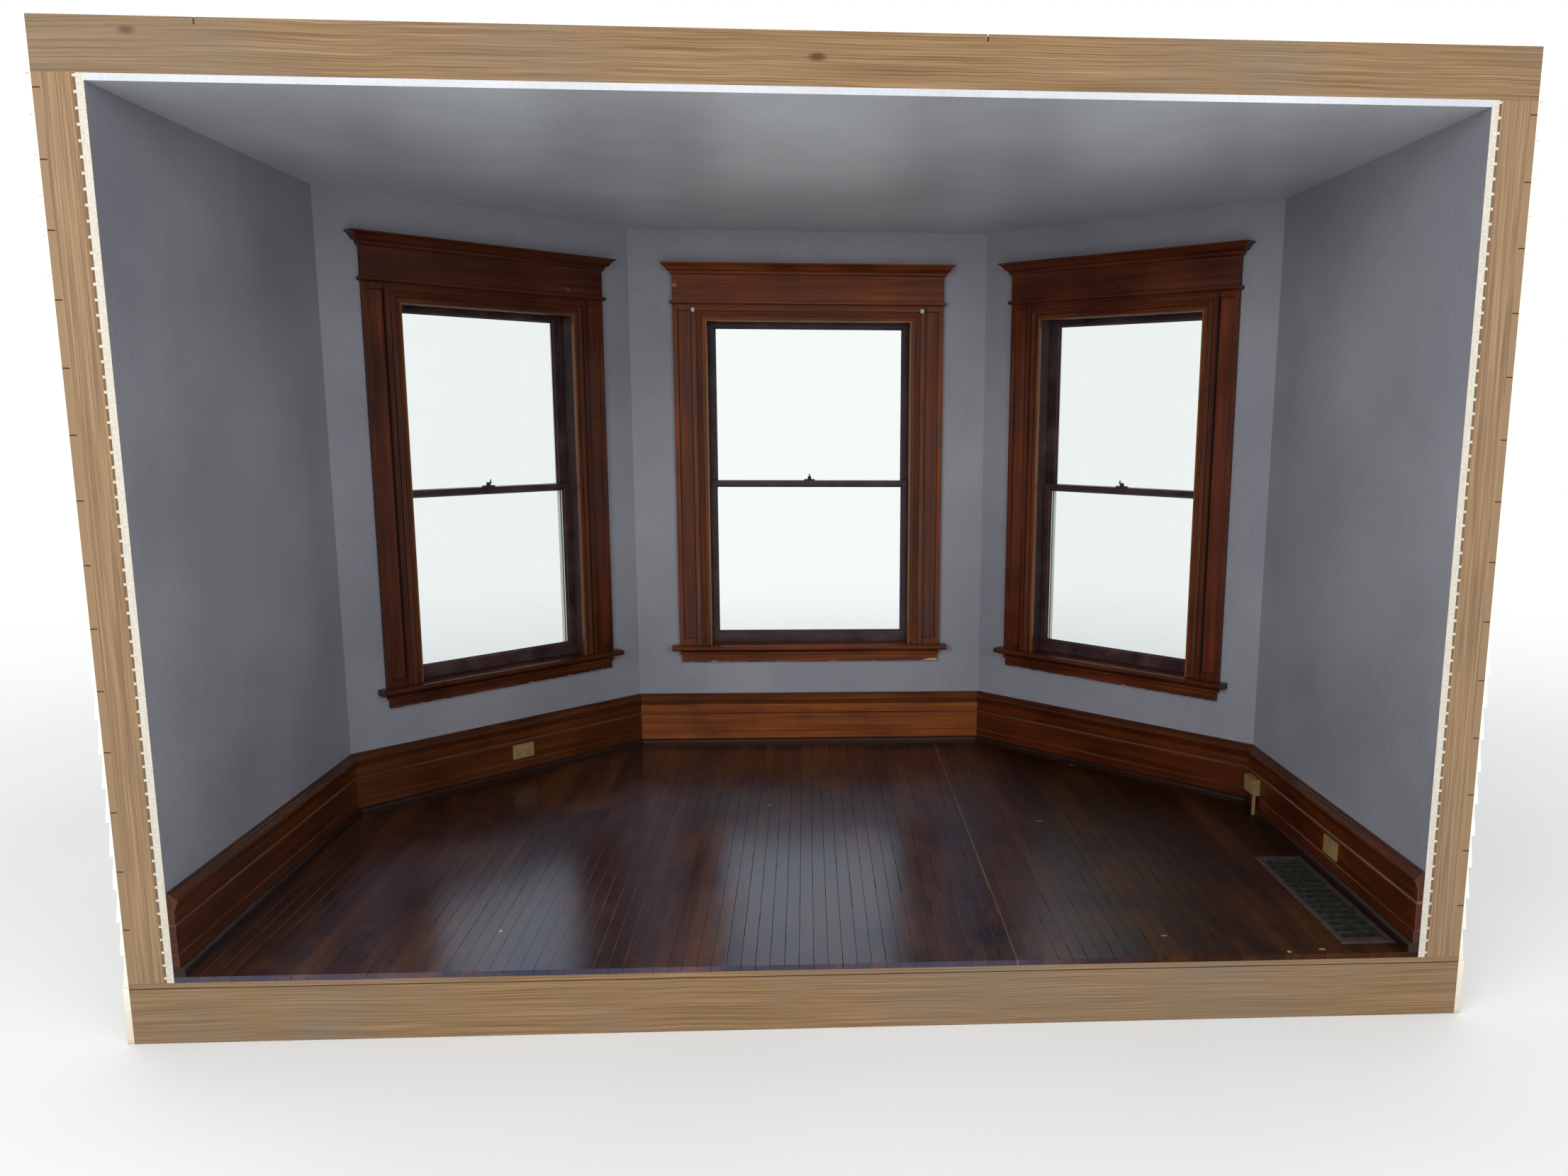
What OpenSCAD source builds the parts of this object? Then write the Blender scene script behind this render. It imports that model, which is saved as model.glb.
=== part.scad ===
// Three-sided bay window with the short side walls that join it to the house.
// The room side faces -Y and the windows look out along +Y. Lengths are in millimetres.

/* [Plan of the bay] */
// Width of the centre wall inside
centre_w = 1810; // [1560:10:2400]
// Width of each slanting wall inside
slant_w = 1554; // [1400:2:1900]
// Angle of the slanting walls to the centre wall
bay_angle = 45; // [30:1:55]
// Length of the straight side walls, up to the cut
return_l = 1530; // [1350:10:2400]
// Height from the floor boards to the ceiling
ceiling_h = 2650; // [2350:10:3100]

/* [Walls] */
// Studs and plaster together
wall_t = 140; // [120:5:200]
// Outside boarding
clad_t = 20; // [14:1:30]
// Height of the plain board along the foot of the walls outside
skirt_h = 190; // [120:5:200]
// Height of the plain board under the top outside
frieze_board_h = 150; // [100:5:220]
// Width of the boards that cover the outside corners
corner_board_w = 95; // [60:5:110]

/* [Floor and ceiling] */
// Joists under the floor
joist_h = 184; // [120:4:240]
// Rough boards on the joists
deck_t = 19; // [15:1:30]
// Strip floor
strip_t = 19; // [12:1:25]
// Ceiling plaster
ceiling_t = 20; // [12:1:30]
// Joists and boards over the ceiling
top_t = 150; // [100:5:250]

/* [Windows] */
// Width of the glass in the centre window
centre_glass_w = 962; // [700:2:1060]
// Width of the glass in the two slanting windows
slant_glass_w = 794; // [600:2:860]
// Height of the lower edge of the glass over the floor
glass_bottom = 604; // [560:2:800]
// Space between the crowns over the windows and the ceiling
crown_gap = 162; // [60:2:400]
// Width of the sash stiles and of the top rail
stile_w = 48; // [46:1:60]
// Height of the bottom rail
bottom_rail_h = 62; // [50:1:90]
// Height of each meeting rail
meeting_h = 34; // [26:1:44]
// Thickness of each sash
sash_t = 34; // [30:1:36]
// Thickness of the panes
glass_t = 4; // [3:1:6]
// Thickness of the window jambs
jamb_t = 20; // [16:1:28]
// Depth of the stops between the wall face and the lower sash
stop_w = 70; // [50:1:75]

/* [Window trim] */
// Width of the reeded band next to the sash
band_w = 79; // [76:1:90]
// Width of the sunk panel board outside the band
panel_w = 91; // [80:1:120]
// Thickness of the casing boards
casing_t = 24; // [20:1:32]
// How far the sunk panel lies back
sunk = 11; // [6:1:14]
// Height of the small moulding under the frieze
astragal_h = 20; // [14:1:26]
// Height of the plain frieze
frieze_h = 118; // [90:1:140]
// Height of the crown on the frieze
crown_h = 64; // [52:1:70]
// How far the crown stands out past the frieze
crown_out = 52; // [30:1:64]
// Thickness of the stool
stool_t = 26; // [20:1:34]
// How far the stool stands out from the wall
stool_out = 64; // [50:1:90]
// How far the horns of the stool pass the casing
horn = 36; // [20:1:50]
// Height of the apron under the stool
apron_h = 66; // [50:1:90]
// Width of the boards round the windows outside
outside_board_w = 92; // [70:1:110]
// How far the outside sills stand out from the boarding
sill_out = 46; // [36:1:60]

/* [Baseboard] */
// Height of the baseboard with its cap and shoe
base_h = 278; // [240:1:320]
// Thickness of the plain part of the baseboard
base_t = 20; // [16:1:26]
// How far the shoe at the foot of the baseboard stands out
shoe_out = 16; // [10:1:20]

/* [Fittings] */
// Width of the floor register
register_w = 190; // [150:5:250]
// Length of the floor register
register_l = 800; // [500:10:820]
// Space between the floor register and the cut at the room side
register_gap = 68; // [40:2:400]
// Width of an outlet plate
plate_w = 114; // [100:1:130]
// Height of an outlet plate
plate_h = 70; // [60:1:76]

/* [Hidden] */

$fn = 32;
eps = 1;
seat = 0.3;
sides = ["centre", "left", "right"];
dark_wood = "#4a2a1a";
pine = "#a98558";
plaster = "#a9abb6";
paint = "#ece7da";
ivory = "#d9cfa6";
iron = "#5c5a55";

// Heights over the ground
deck_z = joist_h + deck_t;
floor_z = deck_z + strip_t;
wall_h = strip_t + ceiling_h + ceiling_t;
top_z = deck_z + wall_h;
roof_z = top_z + top_t;

// Plan, with the middle of the whole footprint as the origin
slant_x = slant_w * cos(bay_angle);
slant_y = slant_w * sin(bay_angle);
half_room = centre_w / 2 + slant_x;
out_t = wall_t + clad_t;
front_y = -(return_l + slant_y + out_t + sill_out) / 2;
corner_y = front_y + return_l;
centre_y = corner_y + slant_y;
p_front = [-half_room, front_y];
p_corner = [-half_room, corner_y];
p_centre = [-centre_w / 2, centre_y];

// Outward direction and run of the side, slanting and centre walls on the left
n_side = [-1, 0];
n_slant = [-sin(bay_angle), cos(bay_angle)];
n_centre = [0, 1];
t_side = [0, 1];
t_slant = [cos(bay_angle), sin(bay_angle)];
t_centre = [1, 0];

// Plan points at a distance t outside the inside face of the walls
function shifted(p, n1, n2, t) = p + t * (n1 + n2) / (1 + n1 * n2);
function front_at(t) = p_front + t * n_side;
function corner_at(t) = shifted(p_corner, n_side, n_slant, t);
function centre_at(t) = shifted(p_centre, n_slant, n_centre, t);
function flip(p) = [-p[0], p[1]];
function half_plan(t) = [front_at(t), corner_at(t), centre_at(t)];
function whole_plan(t) = concat(half_plan(t), [for (i = [2:-1:0]) flip(half_plan(t)[i])]);
function side_strip(a, b) = [front_at(a), corner_at(a), corner_at(b), front_at(b)];
function slant_strip(a, b) = [corner_at(a), centre_at(a), centre_at(b), corner_at(b)];
function centre_strip(a, b) = [centre_at(a), flip(centre_at(a)), flip(centre_at(b)), centre_at(b)];

// Outlines: an arc, an S-shaped ogee and a row of half-round beads
function arc(c, r, a1, a2, n = 5) =
    [for (i = [0:n]) let (a = a1 + (a2 - a1) * i / n) c + r * [cos(a), sin(a)]];
function ogee(p, q, n = 6) =
    [for (i = [0:n]) let (s = i / n, rise = (1 - cos(180 * s)) / 2)
        [p[0] + (q[0] - p[0]) * s, p[1] + (q[1] - p[1]) * rise]];
function beads(u, count, w, v) =
    [for (k = [0:count - 1]) each arc([u + w * (k + 0.5), v], w / 2, 180, 360, 4)];
function turned(points) = [for (p = points) [p[1], p[0]]];

module slab(points, z, h) translate([0, 0, z]) linear_extrude(h) polygon(points);
module mirrored() mirror([1, 0, 0]) children();
// Prism along x from a profile in y and z, and prism along y from an outline in x and z
module along_x(length, points) rotate([90, 0, 90]) linear_extrude(length, center = true) polygon(points);
module along_y(points, length = 3 * out_t)
    rotate([90, 0, 0]) linear_extrude(length, center = true) polygon(points);

// Local frame of a wall: x along it, y from its inside face outwards, z over the floor
module on_left_slant() {
    middle = (p_corner + p_centre) / 2;
    translate([middle[0], middle[1], floor_z]) rotate([0, 0, bay_angle]) children();
}
module on_wall(side) {
    if (side == "centre") translate([0, centre_y, floor_z]) children();
    if (side == "left") on_left_slant() children();
    if (side == "right") mirrored() on_left_slant() children();
}
module both() for (m = [0, 1]) mirror([m, 0, 0]) children();

// Heights and depths of a window
reveal = 35;
head_reveal = 29;
stop_back = 2;
glass_top = ceiling_h - crown_gap - crown_h - frieze_h - astragal_h - band_w - head_reveal;
sill_z = glass_bottom - bottom_rail_h;
// Both sashes are of one height, so their meeting rails lie half way
meeting_z = (sill_z + glass_top + stile_w) / 2;
sill_drop = 18;
head_z = glass_top + stile_w + seat;
band_z = glass_top + head_reveal;
casing_top = band_z + band_w;
lower_y = stop_w + seat;
bead_w = 9;
bead_t = 12;
upper_y = lower_y + sash_t + bead_w;
sill_bed = 16;
hole_bottom = sill_z - stool_t - sill_bed;
hole_top = head_z + jamb_t;

// Half widths of a window
function glass_half(side) = (side == "centre" ? centre_glass_w : slant_glass_w) / 2;
function jamb_half(side) = glass_half(side) + stile_w + seat;
function hole_half(side) = jamb_half(side) + jamb_t;
function band_half(side) = glass_half(side) + reveal;
function casing_half(side) = band_half(side) + band_w + panel_w;

// Floor, ceiling and what carries them
boot_drop = 60;
flange = 15;
register_x = half_room - base_t - shoe_out - 4 - register_w / 2;
register_y = front_y + register_gap + register_l / 2;
module register_hole(z, h)
    translate([register_x, register_y, z + h / 2])
        cube([register_w - 2 * flange, register_l - 2 * flange, h], center = true);
module floor_platform() color(pine) difference() {
    slab(whole_plan(wall_t), 0, deck_z);
    register_hole(deck_z - boot_drop, boot_drop + eps);
}
module strip_floor() color("#3a2318") difference() {
    slab(whole_plan(0), deck_z, strip_t);
    register_hole(deck_z - eps, strip_t + 2 * eps);
}
module ceiling() color("#d8d9dc") slab(whole_plan(0), floor_z + ceiling_h, ceiling_t);
module top_platform() color(pine) slab(whole_plan(wall_t), top_z, top_t);

// Walls with their window holes
module window_hole(side) on_wall(side)
    translate([-hole_half(side), -out_t, hole_bottom])
        cube([2 * hole_half(side), 3 * out_t, hole_top - hole_bottom]);
module centre_wall() color(plaster) difference() {
    slab(centre_strip(0, wall_t), deck_z, wall_h);
    window_hole("centre");
}
module left_bay_wall() color(plaster) difference() {
    slab(slant_strip(0, wall_t), deck_z, wall_h);
    window_hole("left");
}
module right_bay_wall() mirrored() left_bay_wall();
module left_side_wall() color(plaster) slab(side_strip(0, wall_t), deck_z, wall_h);
module right_side_wall() mirrored() left_side_wall();

// Outside: boarding between corner boards, over a skirt and under a frieze board
siding_h = roof_z - frieze_board_h - skirt_h;
module board_between(a, b, n) slab([a, b, b - clad_t * n, a - clad_t * n], skirt_h, siding_h);
module siding() color(paint) {
    w = corner_board_w;
    both() {
        board_between(front_at(out_t), corner_at(out_t) - w * t_side, n_side);
        difference() {
            board_between(corner_at(out_t) + w * t_slant, centre_at(out_t) - w * t_slant, n_slant);
            window_hole("left");
        }
    }
    difference() {
        board_between(centre_at(out_t) + w * t_centre, flip(centre_at(out_t)) - w * t_centre, n_centre);
        window_hole("centre");
    }
}
module corner_board(outer, inner, t1, n1, t2, n2) {
    a = outer - corner_board_w * t1;
    b = outer + corner_board_w * t2;
    slab([a, outer, b, b - clad_t * n2, inner, a - clad_t * n1], skirt_h, siding_h);
}
module corner_boards() color(paint) both() {
    corner_board(corner_at(out_t), corner_at(wall_t), t_side, n_side, t_slant, n_slant);
    corner_board(centre_at(out_t), centre_at(wall_t), t_slant, n_slant, t_centre, n_centre);
}
module board_ring(z, h) translate([0, 0, z]) linear_extrude(h) difference() {
    polygon(whole_plan(out_t));
    polygon(whole_plan(wall_t));
    translate([-half_room - wall_t, front_y - eps]) square([2 * (half_room + wall_t), return_l / 2]);
}
module skirt_boards() color(paint) board_ring(0, skirt_h);
module frieze_boards() color(paint) board_ring(roof_z - frieze_board_h, frieze_board_h);

// Window frame: jambs, head, sloping sill, stops inside and a bead between the sashes
module window_frame(side) on_wall(side) color(dark_wood) {
    j = jamb_half(side);
    h = hole_half(side);
    stop_x = band_half(side) + stop_back;
    both() {
        translate([j, 0, hole_bottom]) cube([jamb_t, out_t, hole_top - hole_bottom]);
        translate([stop_x, 0, sill_z - stool_t]) cube([j - stop_x + eps, stop_w, head_z - sill_z + stool_t]);
        translate([j - bead_t, lower_y + sash_t + seat, meeting_z + meeting_h / 2 + seat])
            cube([bead_t + eps, bead_w - 2 * seat, head_z - meeting_z - meeting_h / 2]);
    }
    translate([-h, 0, head_z]) cube([2 * h, out_t, jamb_t]);
    translate([-j - eps, 0, band_z + stop_back]) cube([2 * j + 2 * eps, stop_w, head_z - band_z]);
    along_x(2 * h, [[0, hole_bottom], [out_t, hole_bottom], [out_t, sill_z - sill_drop],
        [stop_w + eps, sill_z], [stop_w - eps, sill_z], [stop_w - eps, sill_z - stool_t],
        [0, sill_z - stool_t]]);
}

// Sash: stiles and rails with a moulded edge inside and a putty bevel outside the glass
glass_y = 13;
mould_w = 10;
function sash_outline(w) = concat(ogee([0, glass_y - seat], [mould_w, 1.5]),
    [[mould_w, 0], [w, 0], [w, sash_t], [mould_w - 1, sash_t], [0, glass_y + glass_t + seat]]);
module mitred_side(a, b, w) intersection() {
    translate([a, 0, 0]) linear_extrude(2 * (b + w), center = true) polygon(sash_outline(w));
    along_y([[a, -b], [a + w, -b - w], [a + w, b + w], [a, b]]);
}
module sash(side, z1, z2, top_h, bottom_h, y) on_wall(side) color(dark_wood) {
    a = glass_half(side);
    b = (z2 - z1) / 2;
    w = max(stile_w, top_h, bottom_h);
    width = 2 * (a + stile_w);
    translate([0, y, z1 + b]) intersection() {
        union() {
            for (turn = [0, 180]) rotate([0, turn, 0]) mitred_side(a, b, w);
            for (turn = [90, 270]) rotate([0, turn, 0]) mitred_side(b, a, w);
        }
        translate([-width / 2, 0, -b - bottom_h]) cube([width, sash_t, 2 * b + top_h + bottom_h]);
    }
}
rail_low = meeting_z - meeting_h / 2;
rail_high = meeting_z + meeting_h / 2;
module lower_sash(side) sash(side, glass_bottom, rail_low, meeting_h, bottom_rail_h, lower_y);
module upper_sash(side) sash(side, rail_high, glass_top, stile_w, meeting_h, upper_y);
module pane(side, z1, z2, y)
    translate([-glass_half(side) + seat, y + glass_y, z1 + seat])
        cube([2 * (glass_half(side) - seat), glass_t, z2 - z1 - 2 * seat]);
module window_glass() color("#cfe0e6", 0.3) for (side = sides) on_wall(side) {
    pane(side, glass_bottom, rail_low, lower_y);
    pane(side, rail_high, glass_top, upper_y);
}

// Sash lock on the meeting rail: a base with a domed pivot, and a lever that ends in a pointed thumb piece
lock_l = 56;
lock_w = 22;
lock_t = 7;
pivot_d = 26;
pivot_top_d = 16;
pivot_h = 22;
lever_l = 20;
lever_w = 8;
lever_t = 5;
thumb_d = 10;
thumb_top_d = 4;
thumb_h = 20;
module sash_lock() translate([0, lower_y + sash_t / 2, rail_high]) {
    translate([-lock_l / 2, -lock_w / 2, 0]) cube([lock_l, lock_w, lock_t]);
    cylinder(d1 = pivot_d, d2 = pivot_top_d, h = pivot_h);
    translate([-lever_w / 2, -lever_l, pivot_h - lever_t]) cube([lever_w, lever_l, lever_t]);
    translate([0, -lever_l, pivot_h - lever_t]) cylinder(d1 = thumb_d, d2 = thumb_top_d, h = thumb_h);
}
module sash_locks() color(iron) for (side = sides) on_wall(side) sash_lock();

// Casing: a reeded band mitred round the sides and head, and a sunk panel board outside it
edge_w = 23;
cap_h = 34;
ogee_w = 5;
board_t = casing_t - 2;
end_bead = 8;
reed = 7;
reeds_u = 27;
groove_u = reeds_u + 3 * reed;
groove_w = 4;
groove_y = 12 - casing_t;
strip_u = band_w - 24;
function band_outline() = concat([[0, 0]], beads(0, 1, end_bead, 6 - casing_t),
    [[end_bead, 9 - casing_t], [reeds_u - groove_w, 8 - casing_t], [reeds_u - groove_w, groove_y],
    [reeds_u, groove_y]], beads(reeds_u, 3, reed, 7 - casing_t), [[groove_u, groove_y],
    [strip_u, groove_y], [strip_u, -casing_t], [band_w, -casing_t], [band_w, 0]]);
module band_side(side) intersection() {
    a = band_half(side);
    translate([a, 0, sill_z]) linear_extrude(casing_top - sill_z) polygon(band_outline());
    along_y([[a, sill_z], [a + band_w, sill_z], [a + band_w, casing_top], [a, band_z]]);
}
module band_head(side) intersection() {
    a = band_half(side);
    translate([0, 0, band_z]) along_x(2 * (a + band_w), turned(band_outline()));
    along_y([[-a, band_z], [a, band_z], [a + band_w, casing_top], [-a - band_w, casing_top]]);
}
module sunk_board(h) difference() {
    translate([0, -board_t, 0]) cube([panel_w, board_t, h]);
    intersection() {
        linear_extrude(h) polygon(concat([[-eps, -board_t - eps], [-eps, sunk - board_t]],
            ogee([panel_w - edge_w - ogee_w, sunk - board_t], [panel_w - edge_w, -board_t]),
            [[panel_w - edge_w, -board_t - eps]]));
        along_x(3 * panel_w, concat([[-board_t - eps, cap_h]],
            turned(ogee([cap_h, -board_t], [cap_h + ogee_w, sunk - board_t])),
            turned(ogee([h - edge_w - ogee_w, sunk - board_t], [h - edge_w, -board_t])),
            [[-board_t - eps, h - edge_w]]));
    }
}
module window_casing(side) on_wall(side) color(dark_wood) {
    both() {
        band_side(side);
        translate([band_half(side) + band_w, 0, sill_z]) sunk_board(casing_top - sill_z);
    }
    band_head(side);
}

// Entablature: astragal, frieze and crown, returned to the wall at both ends.
// Each outline gives the projection at a height, and two crossed prisms make the mitres.
crown_z = astragal_h + frieze_h;
crown_top = crown_z + crown_h;
crown_fillet = 7;
bed_h = 26;
bed_out = 12;
bed_top = crown_z + bed_h;
astragal_out = 13;
function astragal_outline() = concat(ogee([0, 2], [astragal_h / 2, astragal_out]),
    [[astragal_h - 1, astragal_out], [astragal_h, astragal_out - 1], [astragal_h, 0]]);
function bed_outline() = concat([[crown_z, 0], [crown_z + 1, 2], [crown_z + 5, 2]],
    ogee([crown_z + 5, 3], [bed_top - 9, bed_out]), [[bed_top, bed_out]]);
function crown_outline() = concat(astragal_outline(), bed_outline(), [[bed_top + 1, bed_out + 3]],
    turned(ogee([bed_out + 5, bed_top + 1], [crown_out - 3, crown_top - crown_fillet], 8)),
    [[crown_top - crown_fillet + 1, crown_out], [crown_top, crown_out]]);
module window_entablature(side) on_wall(side) color(dark_wood) translate([0, 0, casing_top]) {
    outline = crown_outline();
    w = casing_half(side);
    intersection() {
        along_x(4 * w, concat([[0, 0]], [for (p = outline) [-casing_t - p[1], p[0]]], [[0, crown_top]]));
        along_y(concat([for (p = outline) [w + p[1], p[0]]],
            [for (i = [len(outline) - 1:-1:0]) [-w - outline[i][1], outline[i][0]]]));
    }
}

// Stool with a rounded nose and horns, and the moulded apron under it
module window_stool(side) on_wall(side) color(dark_wood) {
    r = stool_t / 2;
    nose = arc([r - stool_out, sill_z - r], r, 270, 90, 8);
    tongue = band_half(side) + stop_back - seat;
    along_x(2 * (casing_half(side) + horn), concat(nose, [[0, sill_z], [0, sill_z - stool_t]]));
    translate([-tongue, -eps, sill_z - stool_t]) cube([2 * tongue, stop_w - seat, stool_t]);
}
apron_t = 20;
apron_top = sill_z - stool_t;
apron_foot = apron_top - apron_h;
apron_in = 10;
bead_out = 23;
bead_r = 7;
bead_z = apron_top - 19;
function apron_outline() = concat([[apron_foot, apron_t - 2], [apron_foot + 3, apron_t],
    [bead_z - bead_r - 3, apron_t], [bead_z - bead_r - 1, bead_out]],
    turned(arc([bead_out, bead_z], bead_r, -90, 90, 6)),
    [[bead_z + bead_r + 1, bead_out - 1], [apron_top, apron_t + apron_in]]);
module window_apron(side) on_wall(side) color(dark_wood) {
    outline = apron_outline();
    w = casing_half(side) - apron_in - apron_t;
    intersection() {
        along_x(4 * w, concat([[0, apron_foot]], [for (p = outline) [-p[1], p[0]]], [[0, apron_top]]));
        along_y(concat([for (p = outline) [w + p[1], p[0]]],
            [for (i = [len(outline) - 1:-1:0]) [-w - outline[i][1], outline[i][0]]]));
    }
}

// Outside: flat boards round the window, a drip cap and a sill with horns
outside_t = 22;
stop_lap = 10;
cap_t = 24;
cap_out = 38;
cap_horn = 20;
nose_t = 40;
nose_drip = 4;
sill_horn = 15;
module window_outside_trim(side) on_wall(side) color(paint) {
    a = jamb_half(side) - stop_lap;
    w = a + outside_board_w;
    foot = sill_z - sill_drop;
    top = head_z - stop_lap + outside_board_w;
    nose_y = out_t + sill_out;
    both() translate([a, out_t, foot - stop_lap]) cube([outside_board_w, outside_t, top - foot + stop_lap]);
    translate([-w, out_t, head_z - stop_lap]) cube([2 * w, outside_t, outside_board_w]);
    along_x(2 * (w + cap_horn), [[out_t, top], [out_t + cap_out, top], [out_t + cap_out, top + cap_t / 2],
        [out_t, top + cap_t]]);
    along_x(2 * (w + sill_horn), [[out_t, foot - nose_t], [nose_y - 6, foot - nose_t - nose_drip],
        [nose_y, foot - nose_t - nose_drip / 2], [nose_y, foot - 6], [out_t, foot]]);
}

// Baseboard: shoe, three flat bands between fine grooves, and a moulded cap
shoe_h = 18;
groove_z = 74;
line_z = 170;
cap_z = base_h - 56;
function base_outline() = concat([[0, 0], [base_t + shoe_out, 0]], arc([base_t, shoe_h], shoe_out, 0, 90, 4),
    [[base_t + 2, shoe_h + shoe_out], [base_t + 2, groove_z - 2], [base_t - 1, groove_z - 1],
    [base_t - 1, groove_z + 2], [base_t, groove_z + 3], [base_t, line_z - 4], [base_t + 3, line_z - 2],
    [base_t + 3, line_z + 3], [base_t, line_z + 5], [base_t, cap_z]],
    ogee([base_t + 3, cap_z], [base_t + 12, cap_z + 22]),
    [[base_t + 14, cap_z + 23], [base_t + 14, cap_z + 30], [base_t + 8, cap_z + 32]],
    ogee([base_t + 8, cap_z + 34], [8, base_h - 4]), [[7, base_h], [0, base_h]]);
base_out = base_t + shoe_out;
module base_run(length) along_x(length, [for (p = base_outline()) [-p[0], p[1]]]);
module centre_baseboard() color(dark_wood) intersection() {
    on_wall("centre") base_run(2 * centre_w);
    slab(centre_strip(0, -base_out), floor_z, base_h);
}
module left_bay_baseboard() color(dark_wood) intersection() {
    on_left_slant() base_run(2 * slant_w);
    slab(slant_strip(0, -base_out), floor_z, base_h);
}
module right_bay_baseboard() mirrored() left_bay_baseboard();
module left_side_baseboard() color(dark_wood) intersection() {
    translate([p_corner[0], p_corner[1], floor_z]) rotate([0, 0, 90]) base_run(3 * return_l);
    slab(side_strip(0, -base_out), floor_z, base_h);
}
module right_side_baseboard() mirrored() left_side_baseboard();

// Outlets on the baseboards, drawn with their back on y = 0 and facing -y
left_outlet_x = 53;
outlet_z = 122;
right_outlet_run = 888;
box_run = 105;
box_d = 30;
face_x = 20;
face_d = 34;
face_w = 28;
face_t = 2;
raceway_w = 12;
module outlet(t) {
    translate([-plate_w / 2, -t, -plate_h / 2]) cube([plate_w, t, plate_h]);
    for (x = [-face_x, face_x]) translate([x, -t - face_t, 0]) rotate([-90, 0, 0]) intersection() {
        cylinder(d = face_d, h = face_t + eps);
        translate([-face_w / 2, -face_d / 2, 0]) cube([face_w, face_d, face_t + eps]);
    }
}
module left_outlet() color(ivory) on_left_slant() translate([left_outlet_x, -base_t, outlet_z]) outlet(5);
module on_right_side(run)
    translate([half_room - base_t, corner_y - run, floor_z + outlet_z]) rotate([0, 0, -90]) children();
module right_outlet() color(ivory) on_right_side(right_outlet_run) outlet(7);
module corner_outlet_box() color(ivory) on_right_side(box_run) {
    outlet(box_d);
    translate([plate_w / 2 - raceway_w, -box_d, -outlet_z])
        cube([raceway_w, raceway_w, outlet_z - plate_h / 2 + eps]);
}

// Floor register: a sloping rim round a sunk grille of lengthwise slots between cross bars, over a neck
rim_w = 22;
rim_end_w = 32;
rim_t = 5;
rim_edge = 1.5;
rim_slope = 8;
grille_z = 2.5;
neck_foot = -11;
slot_w = 8;
slot_l = 38;
bar_w = 5.5;
cross_bar_w = 9.5;
function rim_outline(half) = [[-half, 0], [half, 0], [half, rim_edge], [half - rim_slope, rim_t],
    [rim_slope - half, rim_t], [-half, rim_edge]];
module block(w, l, z1, z2) translate([-w / 2, -l / 2, z1]) cube([w, l, z2 - z1]);
module floor_register() color(iron) translate([register_x, register_y, floor_z]) difference() {
    field_w = register_w - 2 * rim_w;
    field_l = register_l - 2 * rim_end_w;
    inset = 2 * (flange + seat);
    columns = floor((field_w - bar_w) / (slot_w + bar_w));
    rows = floor((field_l - cross_bar_w) / (slot_l + cross_bar_w));
    union() {
        intersection() {
            along_x(register_w, rim_outline(register_l / 2));
            along_y(rim_outline(register_w / 2), register_l);
        }
        block(register_w - inset, register_l - inset, neck_foot, rim_edge);
    }
    block(field_w, field_l, grille_z, rim_t + eps);
    for (column = [0:columns - 1]) for (row = [0:rows - 1]) {
        x = (column - (columns - 1) / 2) * (slot_w + bar_w);
        y = (row - (rows - 1) / 2) * (slot_l + cross_bar_w);
        translate([x, y, 0]) block(slot_w, slot_l, neck_foot - eps, rim_t);
    }
}

floor_platform();
strip_floor();
ceiling();
top_platform();
centre_wall();
left_bay_wall();
right_bay_wall();
left_side_wall();
right_side_wall();
siding();
corner_boards();
skirt_boards();
frieze_boards();
window_frame("centre");  // centre_frame
upper_sash("centre");  // centre_upper_sash
lower_sash("centre");  // centre_lower_sash
window_casing("centre");  // centre_casing
window_entablature("centre");  // centre_entablature
window_stool("centre");  // centre_stool
window_apron("centre");  // centre_apron
window_outside_trim("centre");  // centre_outside_trim
window_frame("left");  // left_frame
upper_sash("left");  // left_upper_sash
lower_sash("left");  // left_lower_sash
window_casing("left");  // left_casing
window_entablature("left");  // left_entablature
window_stool("left");  // left_stool
window_apron("left");  // left_apron
window_outside_trim("left");  // left_outside_trim
window_frame("right");  // right_frame
upper_sash("right");  // right_upper_sash
lower_sash("right");  // right_lower_sash
window_casing("right");  // right_casing
window_entablature("right");  // right_entablature
window_stool("right");  // right_stool
window_apron("right");  // right_apron
window_outside_trim("right");  // right_outside_trim
window_glass();
sash_locks();
centre_baseboard();
left_bay_baseboard();
right_bay_baseboard();
left_side_baseboard();
right_side_baseboard();
left_outlet();
right_outlet();
corner_outlet_box();
floor_register();
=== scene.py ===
"""The looks of a three-sided bay window: varnished trim, grey plaster, a strip floor and painted boards."""

import math
from contextlib import contextmanager

import bmesh
import bpy
from mathutils import Matrix, Vector


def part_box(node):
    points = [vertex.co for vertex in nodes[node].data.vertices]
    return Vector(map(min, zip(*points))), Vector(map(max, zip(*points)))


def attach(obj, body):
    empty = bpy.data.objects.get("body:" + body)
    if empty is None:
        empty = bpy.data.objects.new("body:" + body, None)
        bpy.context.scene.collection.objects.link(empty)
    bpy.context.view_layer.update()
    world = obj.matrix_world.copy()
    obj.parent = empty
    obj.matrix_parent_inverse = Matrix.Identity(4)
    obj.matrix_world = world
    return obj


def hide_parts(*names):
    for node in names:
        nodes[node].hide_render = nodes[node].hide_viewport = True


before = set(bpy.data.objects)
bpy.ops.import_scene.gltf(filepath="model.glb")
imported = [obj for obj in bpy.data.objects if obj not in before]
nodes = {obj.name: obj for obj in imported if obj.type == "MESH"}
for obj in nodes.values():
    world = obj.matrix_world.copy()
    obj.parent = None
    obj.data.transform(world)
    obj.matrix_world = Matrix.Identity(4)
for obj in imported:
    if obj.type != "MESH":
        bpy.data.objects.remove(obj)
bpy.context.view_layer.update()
scene = bpy.context.scene

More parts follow.
